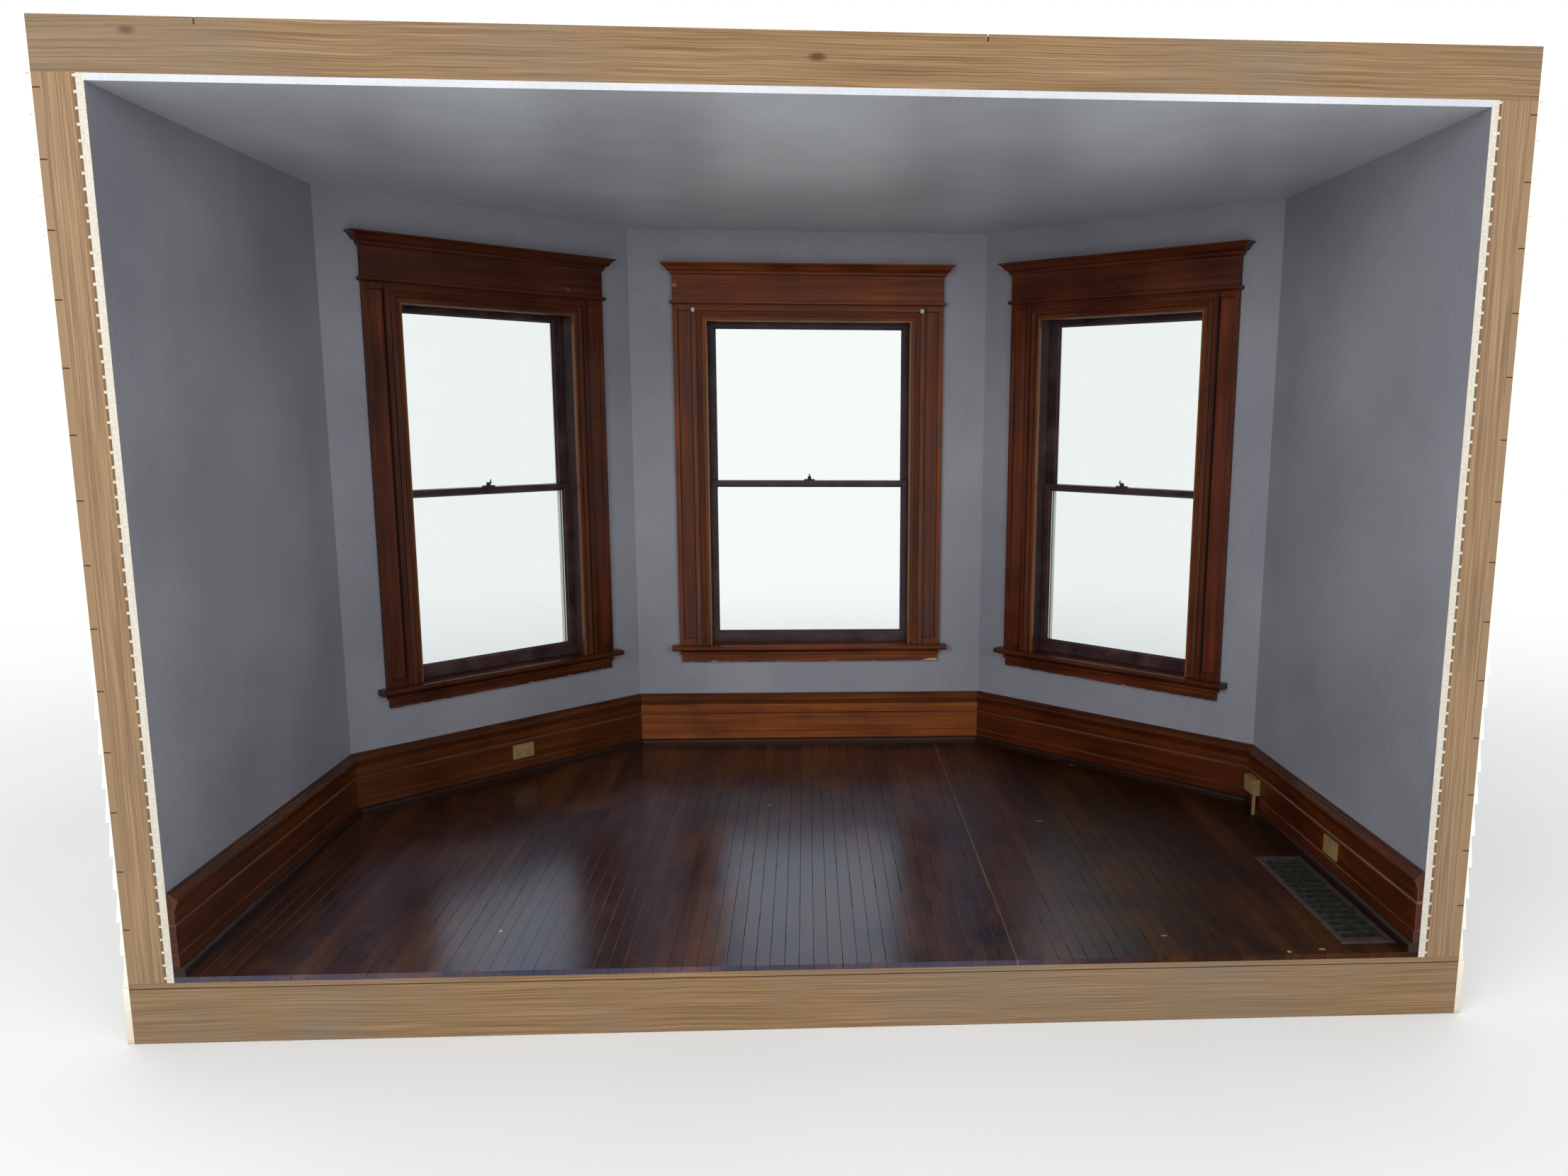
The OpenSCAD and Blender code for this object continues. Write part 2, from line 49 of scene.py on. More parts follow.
# Plan and heights, read from the solids
SIDE_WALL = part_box("left_side_wall")
BAY_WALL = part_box("left_bay_wall")
CENTRE_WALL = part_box("centre_wall")
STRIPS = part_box("strip_floor")
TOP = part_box("top_platform")
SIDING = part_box("siding")

FRONT_Y = SIDE_WALL[0].y
HALF_ROOM = -SIDE_WALL[1].x
WALL_T = SIDE_WALL[1].x - SIDE_WALL[0].x
CORNER_Y = BAY_WALL[0].y
CENTRE_Y = CENTRE_WALL[0].y
HALF_CENTRE = -BAY_WALL[1].x
DECK_Z = STRIPS[0].z
FLOOR_Z = STRIPS[1].z
CLAD_T = SIDE_WALL[0].x - SIDING[0].x
SLANT = math.atan2(CENTRE_Y - CORNER_Y, HALF_ROOM - HALF_CENTRE)

# Parts of the casing, as its section has them
BAND_W = 0.079
PANEL_W = 0.091
CASING_T = 0.024

# How far a piece of this scene keeps off the face of the solids that it lies in or on, and how far a cutting
# box stands out past what it cuts
SEAT = 0.0003
PROUD = 0.001


class Wall:
    """A wall by the middle of its inside face, the direction along it and the direction out through it."""

    def __init__(self, start, end):
        start, end = Vector((*start, 0)), Vector((*end, 0))
        self.middle = (start + end) / 2
        self.along = (end - start).normalized()
        self.out = Vector((-self.along.y, self.along.x, 0))
        self.length = (end - start).length
        self.turn = math.atan2(self.along.y, self.along.x)
        self.offset = self.middle.dot(self.along)
        self.depth = self.middle.dot(self.out)

    def place(self, u, v, z):
        """A point u along the wall from its middle, v outside its inside face, at height z."""
        return self.middle + self.along * u + self.out * v + Vector((0, 0, z))

    def matrix(self, u, v, z):
        """Turns x along the wall, y out through it and z up, from that point."""
        turn = Matrix((self.along, self.out, Vector((0, 0, 1)))).transposed().to_4x4()
        return Matrix.Translation(self.place(u, v, z)) @ turn


WALLS = {
    "left_side": Wall((-HALF_ROOM, FRONT_Y), (-HALF_ROOM, CORNER_Y)),
    "left": Wall((-HALF_ROOM, CORNER_Y), (-HALF_CENTRE, CENTRE_Y)),
    "centre": Wall((-HALF_CENTRE, CENTRE_Y), (HALF_CENTRE, CENTRE_Y)),
    "right": Wall((HALF_CENTRE, CENTRE_Y), (HALF_ROOM, CORNER_Y)),
    "right_side": Wall((HALF_ROOM, CORNER_Y), (HALF_ROOM, FRONT_Y)),
}
WINDOWS = ("centre", "left", "right")


def reach(node, direction):
    """How far a node reaches along a direction, as its lowest and highest value."""
    values = [v.co.dot(direction) for v in nodes[node].data.vertices]
    return min(values), max(values)


# Camera, in the place that the walls, trim and floor boards of the photo give
PHOTO_W = 2212
FOCAL_PX = 1850
CAMERA_AT = (-0.017, -5.024, 1.977)
CAMERA_YAW = math.radians(3.163)
CAMERA_PITCH = math.radians(-9.69)
CAMERA_ROLL = math.radians(0.262)
SENSOR = 36.0
WIDER = 1.10
SHIFT = (-0.056, 0.018)


def make_camera():
    """The photo's camera, a little wider so that the cut ends of the side walls show."""
    yaw, pitch = CAMERA_YAW, CAMERA_PITCH
    forward = Vector((math.sin(yaw) * math.cos(pitch), math.cos(yaw) * math.cos(pitch), math.sin(pitch)))
    right = Vector((math.cos(yaw), -math.sin(yaw), 0))
    up = right.cross(forward)
    tilted_right = right * math.cos(CAMERA_ROLL) + up * math.sin(CAMERA_ROLL)
    tilted_up = up * math.cos(CAMERA_ROLL) - right * math.sin(CAMERA_ROLL)
    data = bpy.data.cameras.new("camera")
    data.sensor_width = SENSOR
    data.lens = SENSOR * FOCAL_PX / PHOTO_W / WIDER
    data.shift_x, data.shift_y = SHIFT
    camera = bpy.data.objects.new("camera", data)
    turn = Matrix((tilted_right, tilted_up, -forward)).transposed().to_4x4()
    camera.matrix_world = Matrix.Translation(CAMERA_AT) @ turn
    scene.collection.objects.link(camera)
    scene.camera = camera


# Rays that feel for an arris or a corner near a point
RAYS = 6


# Nodes of materials and of Geometry Nodes
def linear(code):
    """An sRGB hex colour as linear red, green, blue and alpha."""
    parts = [int(code[i:i + 2], 16) / 255 for i in (1, 3, 5)]
    return [p / 12.92 if p <= 0.04045 else ((p + 0.055) / 1.055) ** 2.4 for p in parts] + [1.0]


def add(tree, kind, *values, stops=(), **settings):
    """Adds a node. Values go to its sockets in order. A setting with a capital names a socket, with _ for a
    space, and any other a property. A socket takes a number, a hex colour or what feeds it. stops are the
    places and colours of a ramp."""
    node = tree.nodes.new(kind if "Node" in kind else "ShaderNode" + kind)
    for name in [n for n in settings if n[0].islower()]:
        setattr(node, name, settings.pop(name))
    for key, value in [*enumerate(values), *settings.items()]:
        if isinstance(key, str):
            label = key.replace("_", " ")
            socket = next(s for s in node.inputs if s.enabled and s.name == label)
        else:
            socket = node.inputs[key]
        if isinstance(value, str) and value.startswith("#"):
            value = linear(value)
        if isinstance(value, bpy.types.Node):
            value = next(s for s in value.outputs if s.enabled)
        if isinstance(value, bpy.types.NodeSocket):
            tree.links.new(value, socket)
        else:
            socket.default_value = value
    for number, (place, code) in enumerate(stops):
        if number > 1:
            node.color_ramp.elements.new(place)
        node.color_ramp.elements[number].position = place
        node.color_ramp.elements[number].color = linear(code)
    return node


def new_material(name):
    """An empty material, its tree and its object coordinates."""
    material = bpy.data.materials.new(name)
    material.use_nodes = True
    tree = material.node_tree
    tree.nodes.clear()
    return material, tree, add(tree, "TexCoord").outputs["Object"]


def shade(tree, share=0.0, other=None, **sockets):
    """Ends a material with its shader, or with a mix that has that share of another shader."""
    shader = add(tree, "BsdfPrincipled", **sockets)
    if other:
        shader = add(tree, "MixShader", share, shader, other)
    add(tree, "OutputMaterial", shader)


def seen_ray(tree):
    """Whether a ray is one by which the eye sees a thing: straight on, through a pane or mirrored."""
    rays = add(tree, "LightPath").outputs
    seen = add(tree, "Math", rays["Is Camera Ray"], rays["Is Transmission Ray"], operation="MAXIMUM")
    return add(tree, "Math", seen, rays["Is Glossy Ray"], operation="MAXIMUM")


def on_wall(tree, coordinates, wall):
    """Coordinates turned to a wall: along it from its middle, out through it, and up."""
    return add(tree, "Mapping", coordinates, (-wall.offset, -wall.depth, 0), (0, 0, -wall.turn))


def grain_cells(tree, vector, length, width, axis):
    """Stretches a vector for grain, in cells of one length along an axis and one width across it."""
    scale = [1 / width] * 3
    scale[axis] = 1 / length
    return add(tree, "VectorMath", vector, tuple(scale), operation="MULTIPLY")


def worn_arrises(tree, colour, radius, share, bare):
    """A colour worn to that share to another one along the arrises, and a normal rounded over them."""
    rounded = add(tree, "Bevel", radius, samples=RAYS)
    flat = add(tree, "NewGeometry").outputs["True Normal"]
    facing = add(tree, "VectorMath", rounded, flat, operation="DOT_PRODUCT").outputs["Value"]
    arris = add(tree, "MapRange", facing, 0.80, 0.995, 1.0, 0.0)
    rubbed = add(tree, "Math", arris, share, operation="MULTIPLY")
    return add(tree, "Mix", data_type="RGBA", Factor=rubbed, A=colour, B=bare), rounded


def patch(tree, vector, ragged, centre, half):
    """How far a point lies within a ragged round patch, from its centre and half sizes along each axis."""
    offset = add(tree, "VectorMath", vector, centre, operation="SUBTRACT")
    scaled = add(tree, "VectorMath", offset, tuple(1 / h for h in half), operation="MULTIPLY")
    far = add(tree, "VectorMath", scaled, operation="LENGTH").outputs["Value"]
    return add(tree, "MapRange", add(tree, "Math", far, ragged, operation="ADD"), 1.2, 1.6, 1.0, 0.0)


def stripe(tree, value, middle, half):
    """Whether a value lies within a soft-edged stripe."""
    off = add(tree, "Math", add(tree, "Math", value, middle, operation="SUBTRACT"), operation="ABSOLUTE")
    return add(tree, "MapRange", off, half * 0.7, half * 1.3, 1.0, 0.0)


# Materials, each with the sizes of its patterns in metres. First the tones of the paint on walls and ceiling,
# and a broad and a narrow span of the values of a noise.
WALL_TONES = ("#75757d", "#86868d")
CEILING_TONES = ("#a9abb0", "#bbbdc1")
BROAD = (0.3, 0.7)
NARROW = (0.35, 0.65)

# Trim: pores and growth rings along the board, clouds in the varnish, grit, painted shade in the grooves,
# and worn arrises that also serve as a painted highlight
STREAK_W = 0.0035
STREAK_L = 0.30
FIGURE_W = 0.028
FIGURE_L = 0.75
VARNISH_CLOUD = 0.25
GRIT = 0.0091
GROOVE_SHADE_REACH = 0.007
TRIM_ARRIS_R = 0.0018
BRUSH_RELIEF = 0.0006
# How far the band lies back where its tone starts to turn to that of the sunk panel, and the panel itself
BAND_BACK = 0.003
PANEL_BACK = 0.011
# From the inner edge of a casing: how far window light is painted on it as a golden highlight, and where the
# painted shade of the quirk beside its panel lies
WINDOW_GLINT_W = 0.009
PANEL_QUIRK_SHADE = BAND_W - 0.0008
PANEL_QUIRK_SHADE_HALF = 0.0045
# Wall paint that runs over a lower edge: how far it wanders up, in waves of this size
LAP_WANDER = 0.006
LAP_WAVE_L = 0.050
LAP_WAVE_W = 0.035

# Stain tones of the trim: dark, middle, light, and worn arris, which also serves as a painted highlight
TRIM_TONES = {
    "centre": ("#2c1006", "#5a270d", "#7f4118", "#ab7446"),
    "left": ("#1f0b04", "#3c1909", "#5a2b10", "#80522c"),
    "right": ("#220c05", "#441b0b", "#632f12", "#89582e"),
}
# Share of its tone that the sunk panel of a casing keeps
PANEL_SHARE = {"centre": 0.72, "left": 1.30, "right": 1.45}
BASE_TONES = {
    "centre": ("#3e1b09", "#723a15", "#94551f", "#a5703f"),
    "left": ("#230d04", "#431e08", "#5c310f", "#806042"),
    "right": ("#230c03", "#431a06", "#5c2b0d", "#84644a"),
}
# Lines along the ledges of a baseboard, dark as painted shade on the centre one and pale elsewhere as worn
# arrises with a painted highlight, and the share of its tone that the cap keeps
BASE_RULES = {"centre": ("#2b1408", 0.50), "left_side": ("#54402f", 0.85), "left": ("#503524", 0.80),
              "right": ("#523828", 0.80), "right_side": ("#66503f", 0.90)}
# Ledges of a baseboard over the floor, each with half its width, and between which heights its shoe ends and
# its cap begins
BASE_LEDGES = ((0.074, 0.0025), (0.172, 0.0050))
BASE_SHOE = (0.033, 0.037)
BASE_CAP = (0.221, 0.223)
# Worn patches of the trim: a place along the wall, out through it and up, half sizes and the wood's colour
BARE = {
    "centre": (((-0.675, -0.05, 2.604), (0.015, 1.0, 0.010), "#7a5f48"),
               ((0.655, -0.03, 0.672), (0.055, 1.0, 0.016), "#a98d66"),
               ((-0.506, -0.03, 0.672), (0.014, 1.0, 0.009), "#a98d66")),
    "left": (((0.406, -0.05, 2.551), (0.010, 1.0, 0.005), "#6b4e3a"),),
    "right": (),
}


def board_cells(tree, vector, length, width, level=None):
    """Cells for grain that runs along the wall, or upright where level is given and says no."""
    cells = grain_cells(tree, vector, length, width, 0)
    if level is None:
        return cells
    upright = grain_cells(tree, vector, length, width, 2)
    return add(tree, "Mix", data_type="VECTOR", Factor=level, A=upright, B=cells)


def casing_edges(tree, colour, worn_and_highlight, streaks, past, above):
    """Paints window light on the inner bead of a casing as a golden highlight, and the shade of the quirk
    between its band and its panel as a dark line.
    """
    # Painted highlight: the inner bead turns golden where window light catches it
    inner = add(tree, "Math", past, above, operation="MAXIMUM")
    inner = add(tree, "Math", inner, WINDOW_GLINT_W, operation="LESS_THAN")
    painted_glint = add(tree, "MapRange", streaks, *NARROW, 0.15, 0.60)
    painted_glint = add(tree, "Math", inner, painted_glint, operation="MULTIPLY")
    colour = add(tree, "Mix", data_type="RGBA", Factor=painted_glint, A=colour, B=worn_and_highlight)
    # Painted shade: a dark line for the quirk between band and panel
    joint = add(tree, "Math", stripe(tree, past, PANEL_QUIRK_SHADE, PANEL_QUIRK_SHADE_HALF), 0.85, operation="MULTIPLY")
    return add(tree, "Mix", data_type="RGBA", Factor=joint, A=colour, B="#150a05")


def baseboard_lines(tree, colour, figure, height, rule):
    """Broken lines along the ledges of a baseboard in the colour given, a darker cap and an almost black
    shoe.
    The lines are painted shade where dark, and worn arrises with a painted highlight where pale.
    """
    code, cap_share = rule
    above_floor = add(tree, "Math", height, FLOOR_Z, operation="SUBTRACT")
    broken = add(tree, "MapRange", figure, 0.36, 0.60, 0.15, 0.85)
    # Ledge lines: painted shade on the centre baseboard, wear with a painted highlight on the others
    for ledge, half in BASE_LEDGES:
        line = add(tree, "Math", stripe(tree, above_floor, ledge, half), broken, operation="MULTIPLY")
        colour = add(tree, "Mix", data_type="RGBA", Factor=line, A=colour, B=code)
    cap = add(tree, "MapRange", above_floor, *BASE_CAP, 1.0, cap_share)
    colour = add(tree, "VectorMath", colour, Scale=cap, operation="SCALE")
    shoe = add(tree, "MapRange", above_floor, *BASE_SHOE, 0.90, 0.0)
    return add(tree, "Mix", data_type="RGBA", Factor=shoe, A=colour, B="#1b100c")


def worn_patches(tree, colour, vector, coordinates, bare):
    """Patches where the varnish is gone, with gritty edges."""
    grit = add(tree, "TexNoise", coordinates, Scale=1 / GRIT, Detail=4.0, Roughness=0.7)
    for centre, half, code in bare:
        spot = patch(tree, vector, grit, centre, half)
        colour = add(tree, "Mix", data_type="RGBA", Factor=spot, A=colour, B=code)
    return colour


def lapped_paint(tree, colour, vector, height, edge):
    """Wall paint that a brush has run over the lower edge of a board, at that height."""
    waves = grain_cells(tree, vector, LAP_WAVE_L, LAP_WAVE_W, 2)
    ragged = add(tree, "TexNoise", waves, Scale=1.0, Detail=3.0)
    edge = add(tree, "MapRange", ragged, 0.40, 0.75, edge, edge + LAP_WANDER)
    over = add(tree, "Math", height, edge, operation="LESS_THAN")
    return add(tree, "Mix", data_type="RGBA", Factor=over, A=colour, B=WALL_TONES[1])


def varnished_softwood(name, wall, tones, mitre=None, panel=0.72, lapped=None, bare=(), rule=None):
    """Softwood stained dark under old brushed varnish: fine streaks along the board, cloudy patches, painted
    shade in the grooves, and arrises worn back to orange-brown, partly a painted highlight. mitre is the half
    width and the height past which the boards of a casing run level. panel is the share of its tone that a
    sunk panel keeps. lapped is the height of a lower edge that wall paint runs over. bare lists worn
    patches. rule is for a baseboard: the colour along its ledges and the share of its tone that the cap
    keeps."""
    material, tree, coordinates = new_material(name)
    vector = on_wall(tree, coordinates, wall)
    along, depth, height = add(tree, "SeparateXYZ", vector).outputs
    level = None
    if mitre:
        half_width, head = mitre
        beside = add(tree, "Math", along, operation="ABSOLUTE")
        past = add(tree, "Math", beside, half_width, operation="SUBTRACT")
        above = add(tree, "Math", height, head, operation="SUBTRACT")
        level = add(tree, "Math", above, past, operation="GREATER_THAN")
    grain = board_cells(tree, vector, STREAK_L, STREAK_W, level)
    figure = board_cells(tree, vector, FIGURE_L, FIGURE_W, level)
    streaks = add(tree, "TexNoise", grain, Scale=1.0, Detail=3.0, Roughness=0.6)
    figure = add(tree, "TexNoise", figure, Scale=1.0, Detail=3.0, Roughness=0.55, Distortion=0.2)
    patches = add(tree, "TexNoise", coordinates, Scale=1 / VARNISH_CLOUD, Detail=2.0, Roughness=0.4)
    dark, middle, light, worn_and_highlight = tones
    mixed = add(tree, "Mix", Factor=0.45, A=figure, B=streaks)
    colour = add(tree, "ValToRGB", mixed, stops=((0.24, dark), (0.50, middle), (0.76, light)))

    # Clouds, hollows and the painted shade in the grooves take from its tone, and wear, partly a painted
    # highlight, gives it back along the arrises
    cloudy = add(tree, "MapRange", patches, *BROAD, 0.70, 1.22)
    hollow = add(tree, "MapRange", depth, BAND_BACK - CASING_T, PANEL_BACK - CASING_T, 1.0, panel)
    # Painted shade: ambient occlusion darkens the grooves
    occlusion = add(tree, "AmbientOcclusion", samples=RAYS, only_local=True, Distance=GROOVE_SHADE_REACH).outputs["AO"]
    unshaded = add(tree, "MapRange", occlusion, 0.25, 0.80, 0.22, 1.0)
    shadow = add(tree, "Math", cloudy, hollow, operation="MULTIPLY")
    shadow = add(tree, "Math", shadow, unshaded, operation="MULTIPLY")
    colour = add(tree, "VectorMath", colour, Scale=shadow, operation="SCALE")
    # Arrises turn to the last tone, partly wear and partly a painted highlight, least in the painted shade of
    # grooves
    uneven = add(tree, "MapRange", streaks, *NARROW, 0.25, 0.85)
    uneven = add(tree, "Math", uneven, unshaded, operation="MULTIPLY")
    colour, rounded = worn_arrises(tree, colour, TRIM_ARRIS_R, uneven, worn_and_highlight)

    if mitre:
        colour = casing_edges(tree, colour, worn_and_highlight, streaks, past, above)
    if rule:
        colour = baseboard_lines(tree, colour, figure, height, rule)
    if bare:
        colour = worn_patches(tree, colour, vector, coordinates, bare)
    if lapped:
        colour = lapped_paint(tree, colour, vector, height, lapped)
    gloss = add(tree, "MapRange", patches, *BROAD, 0.24, 0.44)
    bump = add(tree, "Bump", Strength=0.25, Distance=BRUSH_RELIEF, Height=streaks, Normal=rounded)
    shade(tree, Base_Color=colour, Roughness=gloss, Normal=bump, IOR=1.5, Specular_IOR_Level=0.22,
          Coat_Weight=0.10, Coat_Roughness=0.10)
    return material


# Sashes: clouds in the stain and worn arrises
STAIN_CLOUD = 0.143
SASH_ARRIS_R = 0.0015


def stained_sash(name, dull=0.0, coat=0.1):
    """Sash wood stained almost black under gloss varnish, with a purple-brown cast and thin brown arrises.
    dull makes it rougher, for the frames that the sashes rub against, and coat is the gloss that lies over
    it."""
    material, tree, coordinates = new_material(name)
    patches = add(tree, "TexNoise", coordinates, Scale=1 / STAIN_CLOUD, Detail=4.0, Roughness=0.6)
    colour = add(tree, "ValToRGB", patches, stops=((0.35, "#281a1b"), (0.55, "#382728"), (0.75, "#4c3936")))
    colour, rounded = worn_arrises(tree, colour, SASH_ARRIS_R, 0.6, "#6b4a38")
    gloss = add(tree, "MapRange", patches, *BROAD, 0.24 + dull, 0.42 + dull)
    shade(tree, Base_Color=colour, Roughness=gloss, Normal=rounded, IOR=1.5, Specular_IOR_Level=0.25,
          Coat_Weight=coat, Coat_Roughness=0.12)
    return material


# Plaster: metre-wide clouds, specks, orange peel from the roller and marks of the trowel
PAINT_CLOUD = 0.625
PAINT_SPECK = 0.0077
PEEL_SIZE = 0.009
TROWEL_SIZE = 0.11
PLASTER_RELIEF = 0.005


def plaster_skin(tree, coordinates, tones):
    """Colour, roughness and bump of satin paint on plaster: clouds over a metre, marks of the trowel, orange
    peel from the roller in upright runs, and fine specks."""
    clouds = add(tree, "TexNoise", coordinates, Scale=1 / PAINT_CLOUD, Detail=3.0)
    specks = add(tree, "TexNoise", coordinates, Scale=1 / PAINT_SPECK, Detail=2.0, Roughness=0.6)
    runs = grain_cells(tree, coordinates, 3 * PEEL_SIZE, PEEL_SIZE, 2)
    peel = add(tree, "TexNoise", runs, Scale=1.0, Detail=3.0, Roughness=0.55)
    trowel = add(tree, "TexNoise", coordinates, Scale=1 / TROWEL_SIZE, Detail=3.0, Distortion=0.8)
    fine = add(tree, "Mix", Factor=0.5, A=specks, B=peel)
    mixed = add(tree, "Mix", Factor=0.4, A=clouds, B=fine)
    colour = add(tree, "ValToRGB", mixed, stops=((0.38, tones[0]), (0.62, tones[1])))
    lumps = add(tree, "Mix", Factor=0.35, A=trowel, B=peel)
    bump = add(tree, "Bump", Strength=0.45, Distance=PLASTER_RELIEF, Height=lumps)
    return colour, add(tree, "MapRange", peel, *BROAD, 0.30, 0.46), bump


def painted_plaster(name, tones):
    """Plaster under satin paint, evenly lumpy with a soft sheen."""
    material, tree, coordinates = new_material(name)
    colour, gloss, bump = plaster_skin(tree, coordinates, tones)
    shade(tree, Base_Color=colour, Roughness=gloss, Normal=bump, IOR=1.45)
    return material


# The make of a side wall, which shows at its cut end
PLASTER_T = 0.022
LATH_T = 0.008
LATH_PITCH = 0.043
LATH_GAP = 0.008
SHEATHING_T = 0.021
SHEATHING_PITCH = 0.19
SAW_GAP = 0.004
CUT_GRAIN_L = 0.35
CUT_GRAIN_W = 0.004
SAND_SIZE = 0.00333
# How far behind the cut its look reaches
CUT_SKIN = 0.0004


def cut_wall(name):
    """A plastered side wall whose cut end shows its make: gritty plaster, laths, a pine stud, sheathing."""
    material, tree, coordinates = new_material(name)
    paint, gloss, bump = plaster_skin(tree, coordinates, WALL_TONES)
    x, y, z = add(tree, "SeparateXYZ", coordinates).outputs
    beside = add(tree, "Math", x, operation="ABSOLUTE")
    depth = add(tree, "Math", beside, HALF_ROOM, operation="SUBTRACT")
    grain = grain_cells(tree, coordinates, CUT_GRAIN_L, CUT_GRAIN_W, 2)
    grain = add(tree, "TexNoise", grain, Scale=1.0, Detail=3.0)
    pine = add(tree, "ValToRGB", grain, stops=((0.35, "#69513a"), (0.65, "#8b7050")))
    sand = add(tree, "TexNoise", coordinates, Scale=1 / SAND_SIZE, Detail=2.0, Roughness=0.7)
    section = add(tree, "ValToRGB", sand, stops=((0.35, "#a39c8f"), (0.65, "#c3bdb0")))

    # From the plaster outwards: laths with plaster between them, the stud, and sheathing with open joints
    rung = add(tree, "Math", z, LATH_PITCH, operation="FLOORED_MODULO")
    rung = add(tree, "Math", rung, LATH_GAP, operation="GREATER_THAN")
    behind = add(tree, "Math", depth, PLASTER_T, operation="GREATER_THAN")
    lath = add(tree, "Math", rung, behind, operation="MULTIPLY")
    section = add(tree, "Mix", data_type="RGBA", Factor=lath, A=section, B="#614a30")
    stud = add(tree, "Math", depth, PLASTER_T + LATH_T, operation="GREATER_THAN")
    section = add(tree, "Mix", data_type="RGBA", Factor=stud, A=section, B=pine)
    gap = add(tree, "Math", z, SHEATHING_PITCH, operation="FLOORED_MODULO")
    gap = add(tree, "Math", gap, SAW_GAP, operation="LESS_THAN")
    board = add(tree, "Mix", data_type="RGBA", Factor=gap, A="#7d6548", B="#2a1d12")
    outer = add(tree, "Math", depth, WALL_T - SHEATHING_T, operation="GREATER_THAN")
    section = add(tree, "Mix", data_type="RGBA", Factor=outer, A=section, B=board)

    on_cut = add(tree, "Math", y, FRONT_Y + CUT_SKIN, operation="LESS_THAN")
    colour = add(tree, "Mix", data_type="RGBA", Factor=on_cut, A=paint, B=section)
    shade(tree, Base_Color=colour, Roughness=gloss, Normal=bump, IOR=1.45)
    return material


# Floor strips: pores, rubbed lanes, blotches, curled scuffs, joints and specks
STRIP_W = 0.047
PORE_L = 0.40
PORE_W = 0.0045
LANE_L = 0.90
LANE_W = 0.26
BLOTCH = 0.111
CURL = 0.455
OPEN_JOINT_L = 0.22
JOINT_W = 0.0008
SPECK_SPACING = 0.24
SPECK_EDGE = 0.00455
VARNISH_RELIEF = 0.0005
# A pale seam between two strips, and where the floor turns darker and its varnish duller, from left to right
SEAM_X = 0.6635
SEAM_HALF = 0.0035
DARK_FROM = 0.10
DULL_FROM = 0.55
DULL_TO = 1.15
# Marks on the floor, each a place, its half sizes and its colour
FLOOR_MARKS = (
    ((0.990, -0.086), (0.016, 0.006), "#5d8f63"), ((-0.188, 0.170), (0.007, 0.007), "#a39c92"),
    ((-1.069, -1.119), (0.006, 0.009), "#a39c92"), ((1.196, -1.256), (0.012, 0.006), "#8f7d63"),
    ((1.330, 0.740), (0.030, 0.008), "#7f6f60"), ((-0.169, -0.687), (0.016, 0.012), "#140f0f"),
    ((0.249, -0.806), (0.020, 0.016), "#140f0f"), ((-0.214, -0.613), (0.009, 0.009), "#140f0f"),
    ((1.692, -1.383), (0.012, 0.008), "#8f7d63"), ((1.575, -1.397), (0.008, 0.008), "#8f857a"))
# Broad black stains under the varnish, each a place and its half sizes
FLOOR_STAINS = (
    ((1.06, -0.95), (0.19, 0.11)), ((0.97, -1.34), (0.15, 0.07)), ((0.61, -1.24), (0.08, 0.09)),
    ((1.12, -0.42), (0.13, 0.07)), ((0.20, -1.22), (0.06, 0.08)), ((-0.95, 0.05), (0.07, 0.10)))


def worn_stain(tree, coordinates, streaks, lanes, across):
    """The stained wood: a tone for each strip, lanes rubbed brown, curled scuffs, the dark side, black stains
    and the pale seam."""
    blotches = add(tree, "TexNoise", coordinates, Scale=1 / BLOTCH, Detail=4.0, Roughness=0.65,
                   Distortion=0.4)
    tone = add(tree, "Attribute", attribute_name="tone").outputs["Fac"]
    strips = add(tree, "Mix", Factor=0.78, A=tone, B=streaks)
    mixed = add(tree, "Mix", Factor=0.35, A=lanes, B=strips)
    colour = add(tree, "ValToRGB", mixed, stops=((0.34, "#1e0e05"), (0.50, "#341a0b"), (0.66, "#553013")))
    rubbed = add(tree, "MapRange", blotches, 0.50, 0.75, 0.0, 0.40)
    colour = add(tree, "Mix", data_type="RGBA", Factor=rubbed, A=colour, B="#5f3a1c")
    curl = add(tree, "TexNoise", coordinates, Scale=1 / CURL, Detail=2.0, Distortion=2.5)
    scuff = add(tree, "Math", stripe(tree, curl, 0.5, 0.008), 0.35, operation="MULTIPLY")
    colour = add(tree, "Mix", data_type="RGBA", Factor=scuff, A=colour, B="#0e0706")
    darker = add(tree, "MapRange", across, DARK_FROM, DULL_TO, 1.0, 0.58)
    colour = add(tree, "VectorMath", colour, Scale=darker, operation="SCALE")
    for place, half in FLOOR_STAINS:
        stain = patch(tree, coordinates, blotches, (*place, FLOOR_Z), (*half, 1.0))
        stain = add(tree, "Math", stain, 0.6, operation="MULTIPLY")
        colour = add(tree, "Mix", data_type="RGBA", Factor=stain, A=colour, B="#0f0a0b")
    seam = add(tree, "MapRange", streaks, 0.35, 0.60, 0.2, 0.7)
    seam = add(tree, "Math", stripe(tree, across, SEAM_X, SEAM_HALF), seam, operation="MULTIPLY")
    return add(tree, "Mix", data_type="RGBA", Factor=seam, A=colour, B="#76552f")


def floor_litter(tree, coordinates, colour):
    """Pale specks that lie about, and the marks of the floor."""
    spacing = add(tree, "TexVoronoi", coordinates, Scale=1 / SPECK_SPACING, Randomness=1.0)
    speck = add(tree, "MapRange", spacing.outputs["Distance"], 0.008, 0.014, 0.5, 0.0)
    colour = add(tree, "Mix", data_type="RGBA", Factor=speck, A=colour, B="#9c9488")
    ragged = add(tree, "TexNoise", coordinates, Scale=1 / SPECK_EDGE, Detail=1.0)
    for place, half, code in FLOOR_MARKS:
        mark = patch(tree, coordinates, ragged, (*place, FLOOR_Z), (*half, 1.0))
        colour = add(tree, "Mix", data_type="RGBA", Factor=mark, A=colour, B=code)
    return colour


